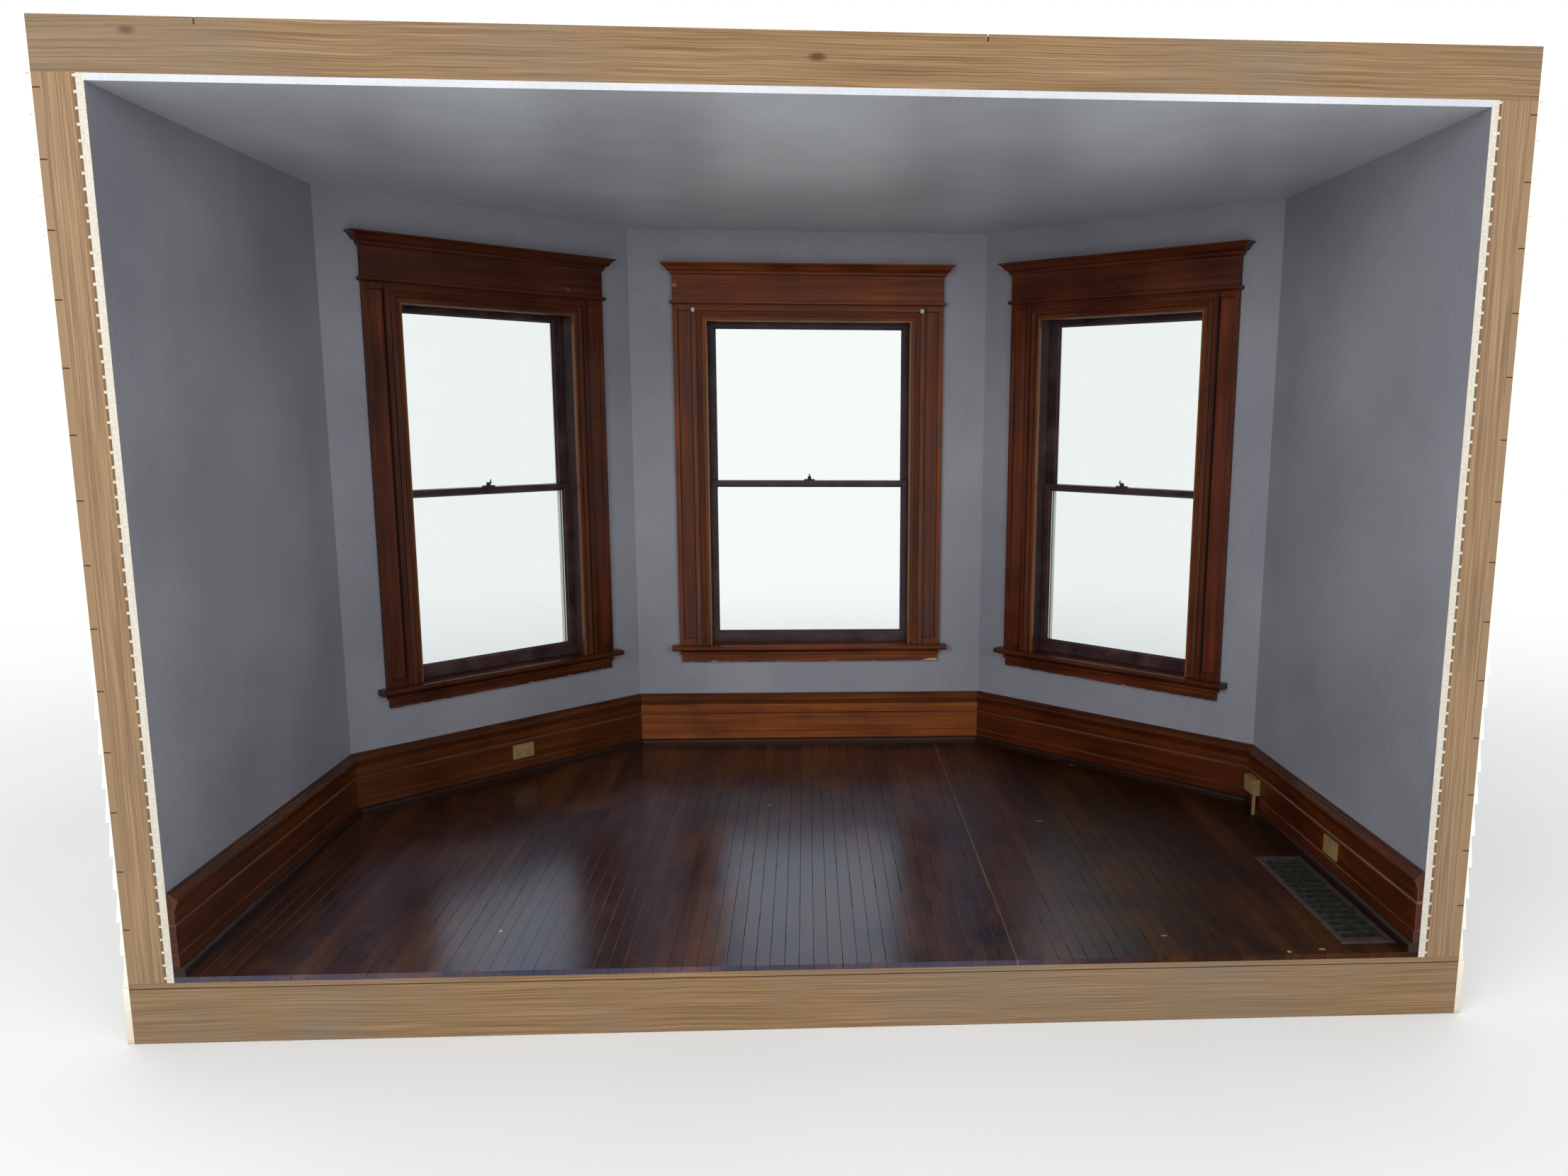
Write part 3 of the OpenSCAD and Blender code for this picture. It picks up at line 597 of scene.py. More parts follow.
def floor_boards(name):
    """Narrow strips stained walnut under worn gloss varnish, darker and duller to the right. Each has its own
    tone, feet have rubbed brown lanes along the room, black stains have crept under the varnish, scuffs curl
    across it, some joints stand open with dirt in them, and pale specks lie about. The tint of its
    reflections
    is painted: blue for the sky in the mirrored windows, brown where it dims them to the right and in the
    open joints."""
    material, tree, coordinates = new_material(name)
    across = add(tree, "SeparateXYZ", coordinates).outputs["X"]
    pores = grain_cells(tree, coordinates, PORE_L, PORE_W, 1)
    streaks = add(tree, "TexNoise", pores, Scale=1.0, Detail=3.0, Roughness=0.6)
    lanes = grain_cells(tree, coordinates, LANE_L, LANE_W, 1)
    lanes = add(tree, "TexNoise", lanes, Scale=1.0, Detail=4.0, Roughness=0.6, Distortion=0.5)
    colour = worn_stain(tree, coordinates, streaks, lanes, across)

    in_strip = add(tree, "Math", across, STRIP_W, operation="FLOORED_MODULO")
    broken = grain_cells(tree, coordinates, OPEN_JOINT_L, STRIP_W, 1)
    broken = add(tree, "MapRange", add(tree, "TexNoise", broken, Scale=1.0, Detail=1.0), 0.57, 0.62)
    joint = add(tree, "Math", stripe(tree, in_strip, JOINT_W, JOINT_W), broken, operation="MULTIPLY")
    colour = add(tree, "Mix", data_type="RGBA", Factor=joint, A=colour, B="#080404")
    colour = floor_litter(tree, coordinates, colour)

    # The varnish is hazy in lanes, dull to the right and gone in the open joints
    haze = add(tree, "Mix", Factor=0.35, A=lanes, B=streaks)
    gloss = add(tree, "MapRange", haze, *NARROW, 0.20, 0.27)
    dull = add(tree, "MapRange", across, DULL_FROM, DULL_TO)
    rough = add(tree, "Math", dull, 0.6, operation="MULTIPLY")
    rough = add(tree, "Math", rough, joint, operation="MAXIMUM")
    rough = add(tree, "Math", rough, 0.45, operation="MULTIPLY")
    gloss = add(tree, "Math", gloss, rough, operation="ADD")
    # Painted reflection: a blue tint for sky in the mirrored windows, a brown one that dims them
    dimmed_reflection = add(tree, "Math", dull, joint, operation="MAXIMUM")
    painted_reflection_tint = add(tree, "Mix", data_type="RGBA", Factor=dimmed_reflection, A="#9dc4ff", B="#4a3c36")
    bump = add(tree, "Bump", Strength=0.15, Distance=VARNISH_RELIEF, Height=streaks)
    shade(tree, Base_Color=colour, Roughness=gloss, Normal=bump, IOR=1.6, Specular_IOR_Level=1.0,
          Specular_Tint=painted_reflection_tint)
    return material


# Outside boards: brush lines, clouds, dust up to a height, painted shade in corners and worn arrises
BRUSH_L = 0.25
BRUSH_W = 0.004
OIL_PAINT_CLOUD = 0.40
DUST_TOP = 0.45
CORNER_SHADE_REACH = 0.03
BOARD_ARRIS_R = 0.002
OIL_PAINT_RELIEF = 0.0008


def board_paint(name):
    """Old oil paint on softwood boards: faint brush lines along the board, soft clouding, dust low down, and
    painted shade in its corners.
    """
    material, tree, coordinates = new_material(name)
    x, y, z = add(tree, "SeparateXYZ", coordinates).outputs
    round_about = add(tree, "CombineXYZ", add(tree, "Math", x, y, operation="ADD"), y, z)
    brush = add(tree, "TexNoise", grain_cells(tree, round_about, BRUSH_L, BRUSH_W, 0), Scale=1.0)
    clouds = add(tree, "TexNoise", coordinates, Scale=1 / OIL_PAINT_CLOUD, Detail=4.0, Roughness=0.6)
    mixed = add(tree, "Mix", Factor=0.25, A=clouds, B=brush)
    colour = add(tree, "ValToRGB", mixed, stops=((0.36, "#dad5c8"), (0.60, "#e6e2d6")))
    low = add(tree, "MapRange", z, 0.0, DUST_TOP, 1.0, 0.0)
    uneven = add(tree, "MapRange", clouds, *NARROW, 0.2, 0.75)
    dusty = add(tree, "Math", low, uneven, operation="MULTIPLY")
    colour = add(tree, "Mix", data_type="RGBA", Factor=dusty, A=colour, B="#ac9d84")
    # Painted shade: darker where ambient occlusion finds a corner
    occlusion = add(tree, "AmbientOcclusion", samples=RAYS, Distance=CORNER_SHADE_REACH).outputs["AO"]
    painted_corner_shade = add(tree, "MapRange", occlusion, 0.3, 0.8, 0.55, 0.0)
    colour = add(tree, "Mix", data_type="RGBA", Factor=painted_corner_shade, A=colour, B="#7d7361")
    colour, rounded = worn_arrises(tree, colour, BOARD_ARRIS_R, 0.35, "#bdb49f")
    bump = add(tree, "Bump", Strength=0.2, Distance=OIL_PAINT_RELIEF, Height=brush, Normal=rounded)
    gloss = add(tree, "MapRange", clouds, *BROAD, 0.42, 0.62)
    shade(tree, Base_Color=colour, Roughness=gloss, Normal=bump, IOR=1.48)
    return material


# Framing: swaying grain, knots, grey patches, saw marks and the joint under the subfloor
SWAY = 0.03
SWAY_SIZE = 0.5
RING_L = 0.60
RING_W = 0.0035
KNOT_L = 0.42
KNOT_W = 0.19
GREY_PATCH = 0.588
SAW_MARK_L = 0.5
SAW_MARK_W = 0.006
SAW_RELIEF = 0.0012
SUBFLOOR_T = 0.019
SUBFLOOR_JOINT_HALF = 0.0015


def sawn_pine(name):
    """Old pine framing, bare from the saw: fine straight grain, saw marks across it, knots, grey patches."""
    material, tree, coordinates = new_material(name)
    z = add(tree, "SeparateXYZ", coordinates).outputs["Z"]
    wavy = add(tree, "TexNoise", coordinates, Scale=1 / SWAY_SIZE, Detail=2.0)
    sway = add(tree, "CombineXYZ", 0.0, 0.0, add(tree, "Math", wavy, SWAY, operation="MULTIPLY"))
    swayed = add(tree, "VectorMath", coordinates, sway, operation="ADD")
    rings = grain_cells(tree, swayed, RING_L, RING_W, 0)
    grain = add(tree, "TexNoise", rings, Scale=1.0, Detail=4.0, Roughness=0.6)
    colour = add(tree, "ValToRGB", grain, stops=((0.34, "#5d462e"), (0.52, "#7b6145"), (0.70, "#937958")))
    knots = add(tree, "TexVoronoi", grain_cells(tree, coordinates, KNOT_L, KNOT_W, 0), Scale=1.0)
    knot = add(tree, "MapRange", knots.outputs["Distance"], 0.03, 0.08, 0.8, 0.0)
    colour = add(tree, "Mix", data_type="RGBA", Factor=knot, A=colour, B="#3d2615")
    greyed = add(tree, "TexNoise", coordinates, Scale=1 / GREY_PATCH, Detail=4.0, Roughness=0.6)
    aged = add(tree, "MapRange", greyed, 0.45, 0.70, 0.0, 0.55)
    colour = add(tree, "Mix", data_type="RGBA", Factor=aged, A=colour, B="#6b6256")
    below = add(tree, "Math", z, DECK_Z - SUBFLOOR_T, operation="SUBTRACT")
    below = add(tree, "Math", below, operation="ABSOLUTE")
    seam = add(tree, "Math", below, SUBFLOOR_JOINT_HALF, operation="LESS_THAN")
    colour = add(tree, "Mix", data_type="RGBA", Factor=seam, A=colour, B="#2c1e12")
    saw = add(tree, "TexNoise", grain_cells(tree, coordinates, SAW_MARK_L, SAW_MARK_W, 2), Scale=1.0)
    rough = add(tree, "Mix", Factor=0.5, A=grain, B=saw)
    bump = add(tree, "Bump", Strength=0.35, Distance=SAW_RELIEF, Height=rough)
    gloss = add(tree, "MapRange", grain, *BROAD, 0.62, 0.82)
    shade(tree, Base_Color=colour, Roughness=gloss, Normal=bump, IOR=1.45, Specular_IOR_Level=0.3)
    return material


# Glass: the draw marks of the sheet
DRAW_WAVE = 0.167
DRAW_RELIEF = 0.002


def sheet_glass(name):
    """Old drawn window glass: clear, faintly wavy, so that what it mirrors bends a little. Light that isn't
    seen goes straight through it."""
    material, tree, coordinates = new_material(name)
    waves = add(tree, "TexNoise", coordinates, Scale=1 / DRAW_WAVE, Detail=1.0)
    bump = add(tree, "Bump", Strength=0.05, Distance=DRAW_RELIEF, Height=waves)
    rays = add(tree, "LightPath").outputs
    unseen = add(tree, "Math", rays["Is Shadow Ray"], rays["Is Diffuse Ray"], operation="MAXIMUM")
    clear = add(tree, "BsdfTransparent", "#f4faf8")
    shade(tree, unseen, clear, Base_Color="#f4faf8", Roughness=0.0, IOR=1.5, Transmission_Weight=1.0,
          Normal=bump)
    return material


# Small metal and plastic: patches, worn arrises and painted shade in corners
METAL_PATCH = 0.0167
ENAMEL_PATCH = 0.0286
METAL_ARRIS_R = 0.001
AGE_PATCH = 0.04
HOLLOW_SHADE_REACH = 0.004
PLASTIC_ARRIS_R = 0.0012
# Height over the floor up to which the register is grille and not rim
GRILLE_TOP = 0.0027


def worn_metal(name, tones, bare, gloss, **sockets):
    """Metal under old paint or enamel: dark and dull in the hollows, rubbed lighter along the arrises."""
    material, tree, coordinates = new_material(name)
    patches = add(tree, "TexNoise", coordinates, Scale=1 / METAL_PATCH, Detail=4.0, Roughness=0.65)
    colour = add(tree, "ValToRGB", patches, stops=((0.35, tones[0]), (0.65, tones[1])))
    colour, rounded = worn_arrises(tree, colour, METAL_ARRIS_R, 0.6, bare)
    gloss = add(tree, "MapRange", patches, *BROAD, gloss, gloss + 0.2)
    shade(tree, Base_Color=colour, Roughness=gloss, Normal=rounded, **sockets)
    return material


def register_enamel(name):
    """Pressed steel under worn enamel: the grille dark green-grey with dust, the rim purple-brown and rubbed
    pale where feet and brooms catch it."""
    material, tree, coordinates = new_material(name)
    z = add(tree, "SeparateXYZ", coordinates).outputs["Z"]
    patches = add(tree, "TexNoise", coordinates, Scale=1 / ENAMEL_PATCH, Detail=4.0, Roughness=0.65)
    rim = add(tree, "ValToRGB", patches, stops=((0.35, "#33272a"), (0.65, "#4d3d3e")))
    grille = add(tree, "ValToRGB", patches, stops=((0.35, "#22241f"), (0.65, "#363a31")))
    low = add(tree, "Math", z, FLOOR_Z + GRILLE_TOP, operation="LESS_THAN")
    colour = add(tree, "Mix", data_type="RGBA", Factor=low, A=rim, B=grille)
    uneven = add(tree, "MapRange", patches, 0.45, 0.65, 0.15, 0.9)
    colour, rounded = worn_arrises(tree, colour, METAL_ARRIS_R, uneven, "#7d6b62")
    gloss = add(tree, "MapRange", patches, *BROAD, 0.40, 0.60)
    shade(tree, Base_Color=colour, Roughness=gloss, Normal=rounded, Metallic=0.2, Specular_IOR_Level=0.35)
    return material


def moulded_plastic(name, tones, gloss=0.3):
    """Urea plastic pressed in a polished mould: hard and glossy, yellowed unevenly, painted shade in its
    corners.
    """
    material, tree, coordinates = new_material(name)
    age = add(tree, "TexNoise", coordinates, Scale=1 / AGE_PATCH, Detail=3.0)
    colour = add(tree, "ValToRGB", age, stops=((0.35, tones[0]), (0.65, tones[1])))
    # Painted shade: darker where ambient occlusion finds a corner or slot
    occlusion = add(tree, "AmbientOcclusion", samples=RAYS, only_local=True, Distance=HOLLOW_SHADE_REACH).outputs["AO"]
    painted_hollow_shade = add(tree, "MapRange", occlusion, 0.4, 0.9, 0.6, 0.0)
    colour = add(tree, "Mix", data_type="RGBA", Factor=painted_hollow_shade, A=colour, B="#3a2f1e")
    rounded = add(tree, "Bevel", PLASTIC_ARRIS_R, samples=RAYS)
    gloss = add(tree, "MapRange", age, *BROAD, gloss, gloss + 0.12)
    shade(tree, Base_Color=colour, Roughness=gloss, Normal=rounded, IOR=1.55)
    return material


# Geometry Nodes trees
def new_tree(name, inputs):
    """A Geometry Nodes tree with named inputs, the sockets of its input node and a function that ends it."""
    tree = bpy.data.node_groups.new(name, "GeometryNodeTree")
    for label, kind in inputs.items():
        tree.interface.new_socket(name=label, in_out="INPUT", socket_type="NodeSocket" + kind)
    tree.interface.new_socket(name="Geometry", in_out="OUTPUT", socket_type="NodeSocketGeometry")
    given = add(tree, "NodeGroupInput").outputs

    def end(geometry):
        """Realizes the instances, sets the material and joins the output."""
        real = add(tree, "GeometryNodeRealizeInstances", geometry)
        finished = add(tree, "GeometryNodeSetMaterial", Geometry=real, Material=given["Material"])
        add(tree, "NodeGroupOutput", finished)

    return tree, given, end


# Boards: the width and depth of their eased long edges, how far their joints may move at random as a share of
# a board's length, and a number that keeps the draws of the rows apart
EASE_W = 0.0008
EASE_D = 0.0005
JOINT_WANDER = 0.7
ROW_KEY = 17.0


def board_tree():
    """Rows of boards along y with staggered ends, eased long edges and a random tone on each."""
    tree, given, end = new_tree("board_rows", {
        "Board Width": "Float", "Thickness": "Float", "Gap": "Float", "Board Length": "Float",
        "Rows": "Int", "Boards In Row": "Int", "Start": "Float", "Seed": "Int", "Material": "Material"})
    count = add(tree, "Math", given["Rows"], given["Boards In Row"], operation="MULTIPLY")
    points = add(tree, "GeometryNodeMeshLine", Count=count, Offset=(0, 0, 0))
    index = add(tree, "GeometryNodeInputIndex")
    row = add(tree, "Math", index, given["Boards In Row"], operation="DIVIDE")
    row = add(tree, "Math", row, operation="FLOOR")
    place = add(tree, "Math", index, given["Boards In Row"], operation="FLOORED_MODULO")
    middle = add(tree, "Math", given["Rows"], 0.5, operation="MULTIPLY")
    middle = add(tree, "Math", middle, 0.5, operation="SUBTRACT")
    x = add(tree, "Math", row, middle, operation="SUBTRACT")
    x = add(tree, "Math", x, given["Board Width"], operation="MULTIPLY")
    stagger = add(tree, "FunctionNodeRandomValue", data_type="FLOAT", ID=row, Seed=given["Rows"])

    def joint(step):
        """Where the boards of a row meet, moved at random along the row."""
        number = add(tree, "Math", place, float(step), operation="ADD")
        key = add(tree, "Math", row, ROW_KEY, number, operation="MULTIPLY_ADD")
        moved = add(tree, "FunctionNodeRandomValue", data_type="FLOAT", Max=JOINT_WANDER, ID=key,
                    Seed=given["Seed"])
        total = add(tree, "Math", moved, number, operation="ADD")
        total = add(tree, "Math", total, stagger, operation="ADD")
        return add(tree, "Math", total, given["Board Length"], given["Start"], operation="MULTIPLY_ADD")

    near, far = joint(0), joint(1)
    y = add(tree, "Math", near, far, operation="ADD")
    y = add(tree, "Math", y, 0.5, operation="MULTIPLY")
    length = add(tree, "Math", far, near, operation="SUBTRACT")
    length = add(tree, "Math", length, given["Gap"], operation="SUBTRACT")
    z = add(tree, "Math", given["Thickness"], 0.5, operation="MULTIPLY")
    placed = add(tree, "GeometryNodeSetPosition", Geometry=points, Position=add(tree, "CombineXYZ", x, y, z))

    # A board with two inner rows of points, which move out to its shoulders, and upper edges that sink
    width = add(tree, "Math", given["Board Width"], given["Gap"], operation="SUBTRACT")
    size = add(tree, "CombineXYZ", width, 1.0, given["Thickness"])
    board = add(tree, "GeometryNodeMeshCube", size, 4)
    at = add(tree, "SeparateXYZ", add(tree, "GeometryNodeInputPosition")).outputs
    half = add(tree, "Math", width, 0.5, operation="MULTIPLY")
    beside = add(tree, "Math", at["X"], operation="ABSOLUTE")
    within = add(tree, "Math", half, 0.9, operation="MULTIPLY")
    inner = add(tree, "Math", beside, within, operation="LESS_THAN")
    shoulder = add(tree, "Math", half, EASE_W, operation="SUBTRACT")
    shoulder = add(tree, "Math", shoulder, add(tree, "Math", at["X"], operation="SIGN"), operation="MULTIPLY")
    move = add(tree, "Math", shoulder, at["X"], operation="SUBTRACT")
    move = add(tree, "Math", move, inner, operation="MULTIPLY")
    rim = add(tree, "Math", at["Z"], 0.0, operation="GREATER_THAN")
    rim = add(tree, "Math", rim, inner, operation="GREATER_THAN")
    sink = add(tree, "Math", rim, -EASE_D, operation="MULTIPLY")
    eased_by = add(tree, "CombineXYZ", move, 0.0, sink)
    shaped = add(tree, "GeometryNodeSetPosition", Geometry=board, Offset=eased_by)

    held = add(tree, "GeometryNodeInstanceOnPoints", Points=placed, Instance=shaped,
               Scale=add(tree, "CombineXYZ", 1.0, length, 1.0))
    tone = add(tree, "FunctionNodeRandomValue", data_type="FLOAT", ID=index, Seed=given["Seed"])
    end(add(tree, "GeometryNodeStoreNamedAttribute", data_type="FLOAT", domain="INSTANCE", Geometry=held,
            Name="tone", Value=tone))
    return tree


# How far a lapped board may lie back at random
LAP_PLAY = 0.0006


def lap_tree():
    """Lapped boards, each thick at its lower edge and thin where the next one covers it."""
    tree, given, end = new_tree("lapped_boards", {
        "Length": "Float", "Height": "Float", "Exposure": "Float", "Butt": "Float", "Tip": "Float",
        "Seed": "Int", "Material": "Material"})
    rows = add(tree, "Math", given["Height"], given["Exposure"], operation="DIVIDE")
    rows = add(tree, "Math", rows, operation="CEIL")
    step = add(tree, "CombineXYZ", 0.0, 0.0, given["Exposure"])
    points = add(tree, "GeometryNodeMeshLine", Count=rows, Offset=step)
    size = add(tree, "CombineXYZ", given["Length"], given["Butt"], given["Exposure"])
    board = add(tree, "GeometryNodeMeshCube", size)
    at = add(tree, "SeparateXYZ", add(tree, "GeometryNodeInputPosition")).outputs
    outer = add(tree, "Math", at["Y"], 0.0, operation="GREATER_THAN")
    upper = add(tree, "Math", at["Z"], 0.0, operation="GREATER_THAN")
    corner = add(tree, "Math", outer, upper, operation="MULTIPLY")
    thinner = add(tree, "Math", given["Tip"], given["Butt"], operation="SUBTRACT")
    half = add(tree, "Math", given["Butt"], 0.5, operation="MULTIPLY")
    y = add(tree, "Math", corner, thinner, half, operation="MULTIPLY_ADD")
    lift = add(tree, "Math", given["Exposure"], 0.5, operation="MULTIPLY")
    taper = add(tree, "CombineXYZ", 0.0, y, lift)
    shaped = add(tree, "GeometryNodeSetPosition", Geometry=board, Offset=taper)
    back = add(tree, "FunctionNodeRandomValue", data_type="FLOAT", Min=-LAP_PLAY, Max=0.0, Seed=given["Seed"])
    back = add(tree, "CombineXYZ", 0.0, back, 0.0)
    loose = add(tree, "GeometryNodeSetPosition", Geometry=points, Offset=back)
    end(add(tree, "GeometryNodeInstanceOnPoints", Points=loose, Instance=shaped))
    return tree


# A screw head by shares of its radius: the top of its cone, its height, its slot from the foot up and what
# cuts it. Then how far a head may be turned.
SCREW_TOP = 0.72
SCREW_H = 0.42
SLOT_W = 0.30
SLOT_FOOT = 0.20
CUTTER_L = 3.0
CUTTER_H = 0.5
SCREW_TURN = 3.1


def screw_tree():
    """Slotted screw heads on the points of a mesh, each as large and turned as its point says."""
    tree, given, end = new_tree("screw_heads", {
        "Geometry": "Geometry", "Slot": "Float", "Material": "Material"})
    head = add(tree, "GeometryNodeMeshCone", Vertices=20, Radius_Top=SCREW_TOP, Radius_Bottom=1.0,
               Depth=SCREW_H)
    cutter = add(tree, "GeometryNodeMeshCube", add(tree, "CombineXYZ", CUTTER_L, given["Slot"], CUTTER_H))
    raised = add(tree, "GeometryNodeTransform", Geometry=cutter, Translation=(0, 0, SLOT_FOOT + CUTTER_H / 2))
    cut = add(tree, "GeometryNodeMeshBoolean", Mesh_1=head, Mesh_2=raised, operation="DIFFERENCE",
              solver="EXACT")
    radius = add(tree, "GeometryNodeInputNamedAttribute", "radius", data_type="FLOAT")
    radius = radius.outputs["Attribute"]
    facing = add(tree, "GeometryNodeInputNamedAttribute", "facing", data_type="FLOAT_VECTOR")
    facing = facing.outputs["Attribute"]
    turn = add(tree, "FunctionNodeAlignRotationToVector", Vector=facing, axis="Z")
    spin = add(tree, "FunctionNodeRandomValue", data_type="FLOAT", Max=SCREW_TURN, Seed=4)
    spun = add(tree, "FunctionNodeRotateRotation", turn, add(tree, "CombineXYZ", 0.0, 0.0, spin),
               rotation_space="LOCAL")
    end(add(tree, "GeometryNodeInstanceOnPoints", Points=given["Geometry"], Instance=cut, Rotation=spun,
            Scale=radius))
    return tree


def grown(name, tree, base=None, **values):
    """The plain mesh that a tree makes from named values; an underscore stands for a space in a name."""
    maker = bpy.data.objects.new(name, base or bpy.data.meshes.new(name))
    scene.collection.objects.link(maker)
    modifier = maker.modifiers.new("rows", "NODES")
    modifier.node_group = tree
    for item in tree.interface.items_tree:
        key = item.name.replace(" ", "_")
        if item.in_out == "INPUT" and key in values:
            modifier[item.identifier] = values[key]
    bpy.context.view_layer.update()
    depsgraph = bpy.context.evaluated_depsgraph_get()
    mesh = bpy.data.meshes.new_from_object(maker.evaluated_get(depsgraph))
    bpy.data.objects.remove(maker)
    mesh.name = name
    return mesh


# Making pieces
def cover(mesh, material):
    """Makes a material the only one of a mesh."""
    mesh.materials.clear()
    mesh.materials.append(material)


def piece(name, mesh, slot, *replaced, material=None):
    """Adds a mesh as a piece of the part, in place of the nodes that it stands for. slot is not used."""
    if material:
        cover(mesh, material)
    obj = bpy.data.objects.new(name, mesh)
    scene.collection.objects.link(obj)
    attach(obj, "root")
    if replaced:
        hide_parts(*replaced)


def dress(material, *names):
    """Gives CAD nodes their material."""
    for name in names:
        cover(nodes[name].data, material)


def joined(name, meshes):
    """One mesh from several, keeping the attributes of each."""
    parts = [bpy.data.objects.new(name, m) for m in meshes]
    for part in parts:
        scene.collection.objects.link(part)
    with bpy.context.temp_override(active_object=parts[0], selected_editable_objects=parts, object=parts[0]):
        bpy.ops.object.join()
    mesh = parts[0].data
    bpy.data.objects.remove(parts[0])
    mesh.name = name
    return mesh


@contextmanager
def edited(mesh):
    """Opens a mesh for editing and writes the result back into it."""
    work = bmesh.new()
    work.from_mesh(mesh)
    yield work
    work.to_mesh(mesh)
    work.free()


def clipped(mesh, planes):
    """Cuts a mesh of closed boards to the inner side of planes and caps it. A plane is a point and an outward
    normal."""
    with edited(mesh) as work:
        for point, normal in planes:
            everything = work.verts[:] + work.edges[:] + work.faces[:]
            bmesh.ops.bisect_plane(work, geom=everything, dist=1e-6, plane_co=point, plane_no=normal,
                                   clear_outer=True)
            rims = [e for e in work.edges if e.is_boundary]
            bmesh.ops.holes_fill(work, edges=rims, sides=0)
        bmesh.ops.recalc_face_normals(work, faces=work.faces)
    return mesh


def boxes(name, corners):
    """A mesh of boxes, each given by a low corner, a high corner and a placing."""
    mesh = bpy.data.meshes.new(name)
    with edited(mesh) as work:
        for low, high, matrix in corners:
            low, high = Vector(low), Vector(high)
            made = bmesh.ops.create_cube(work, size=1)["verts"]
            bmesh.ops.scale(work, vec=high - low, verts=made)
            bmesh.ops.translate(work, vec=(low + high) / 2, verts=made)
            bmesh.ops.transform(work, matrix=matrix, verts=made)
    return mesh


def minus_boxes(mesh, corners):
    """Cuts boxes that don't touch each other out of a closed mesh."""
    body = bpy.data.objects.new("body", mesh)
    tool = bpy.data.objects.new("tool", boxes("tool", corners))
    for obj in (body, tool):
        scene.collection.objects.link(obj)
    cut = body.modifiers.new("cut", "BOOLEAN")
    cut.operation, cut.object, cut.solver = "DIFFERENCE", tool, "EXACT"
    bpy.context.view_layer.update()
    result = bpy.data.meshes.new_from_object(body.evaluated_get(bpy.context.evaluated_depsgraph_get()))
    for obj in (body, tool):
        bpy.data.objects.remove(obj)
    return result


def plan_planes(outset):
    """The planes of the bay's plan, as far outside the inside face of the walls as outset, and of the cut."""
    planes = [(wall.place(0, outset, 0), wall.out) for wall in WALLS.values()]
    return planes + [(Vector((0, FRONT_Y, 0)), Vector((0, -1, 0)))]


# Floor strips: their length and gap, how far the register's rim laps them, and how they reach past the room
STRIP_L = 1.5
STRIP_GAP = 0.0005
REGISTER_LAP = 0.0145
STRIPS_IN_ROW = 5
STRIPS_AHEAD = 2.6


def make_floor(tree, material):
    """The strip floor, laid towards the bay, cut to the walls and round the register."""
    rows = 2 * math.ceil(HALF_ROOM / STRIP_W)
    mesh = grown("floor_strips", tree, Board_Width=STRIP_W, Thickness=FLOOR_Z - DECK_Z, Gap=STRIP_GAP,
                 Board_Length=STRIP_L, Rows=rows, Boards_In_Row=STRIPS_IN_ROW,
                 Start=FRONT_Y - STRIPS_AHEAD * STRIP_L, Seed=7, Material=material)
    mesh.transform(Matrix.Translation((0, 0, DECK_Z)))
    mesh = clipped(mesh, plan_planes(-SEAT))
    low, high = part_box("floor_register")
    low = (low.x + REGISTER_LAP, low.y + REGISTER_LAP, 0)
    high = (high.x - REGISTER_LAP, high.y - REGISTER_LAP, 1)
    mesh = minus_boxes(mesh, [(low, high, Matrix())])
    piece("floor_strips", mesh, "floor_strips", "strip_floor")


# Boards of the top, and how they reach past it before they are cut to the plan
TOP_BOARD_T = 0.020
TOP_BOARD_W = 0.14
TOP_BOARD_L = 2.1
TOP_BOARD_GAP = 0.004
TOP_BOARDS_IN_ROW = 4
TOP_BOARDS_AHEAD = 3.2
TOP_MARGIN = 0.3


def make_top(tree, material):
    """The boards over the bay, laid across it on the framing that shows at the cut."""
    rows = 2 * math.ceil((CENTRE_Y - FRONT_Y + TOP_MARGIN) / 2 / TOP_BOARD_W)
    mesh = grown("top_boards", tree, Board_Width=TOP_BOARD_W, Thickness=TOP_BOARD_T, Gap=TOP_BOARD_GAP,
                 Board_Length=TOP_BOARD_L, Rows=rows, Boards_In_Row=TOP_BOARDS_IN_ROW,
                 Start=-TOP_BOARDS_AHEAD * TOP_BOARD_L, Seed=3, Material=material)
    mesh.transform(Matrix.Translation((0, 0, TOP[1].z - TOP_BOARD_T)) @ Matrix.Rotation(math.pi / 2, 4, "Z"))
    mesh = clipped(mesh, plan_planes(WALL_T - SEAT))
    framing = nodes["top_platform"].data.copy()
    with edited(framing) as work:
        bmesh.ops.remove_doubles(work, verts=work.verts, dist=1e-5)
        for vertex in work.verts:
            vertex.co.z = min(vertex.co.z, TOP[1].z - TOP_BOARD_T)
    piece("top_boards", mesh, "framing_pine", "top_platform")
    piece("top_framing", framing, "framing_pine", "top_platform", material=material)


# Lapped boards: what shows of each, its thickness below and above, and how it meets the boards round it
EXPOSURE = 0.108
BUTT_T = 0.017
TIP_T = 0.005
CORNER_BOARD_W = 0.095
CORNER_GAP = 0.001
SIDING_LAP = 0.020
SILL_LAP = 0.004
DRIP_CAP_LAP = 0.024


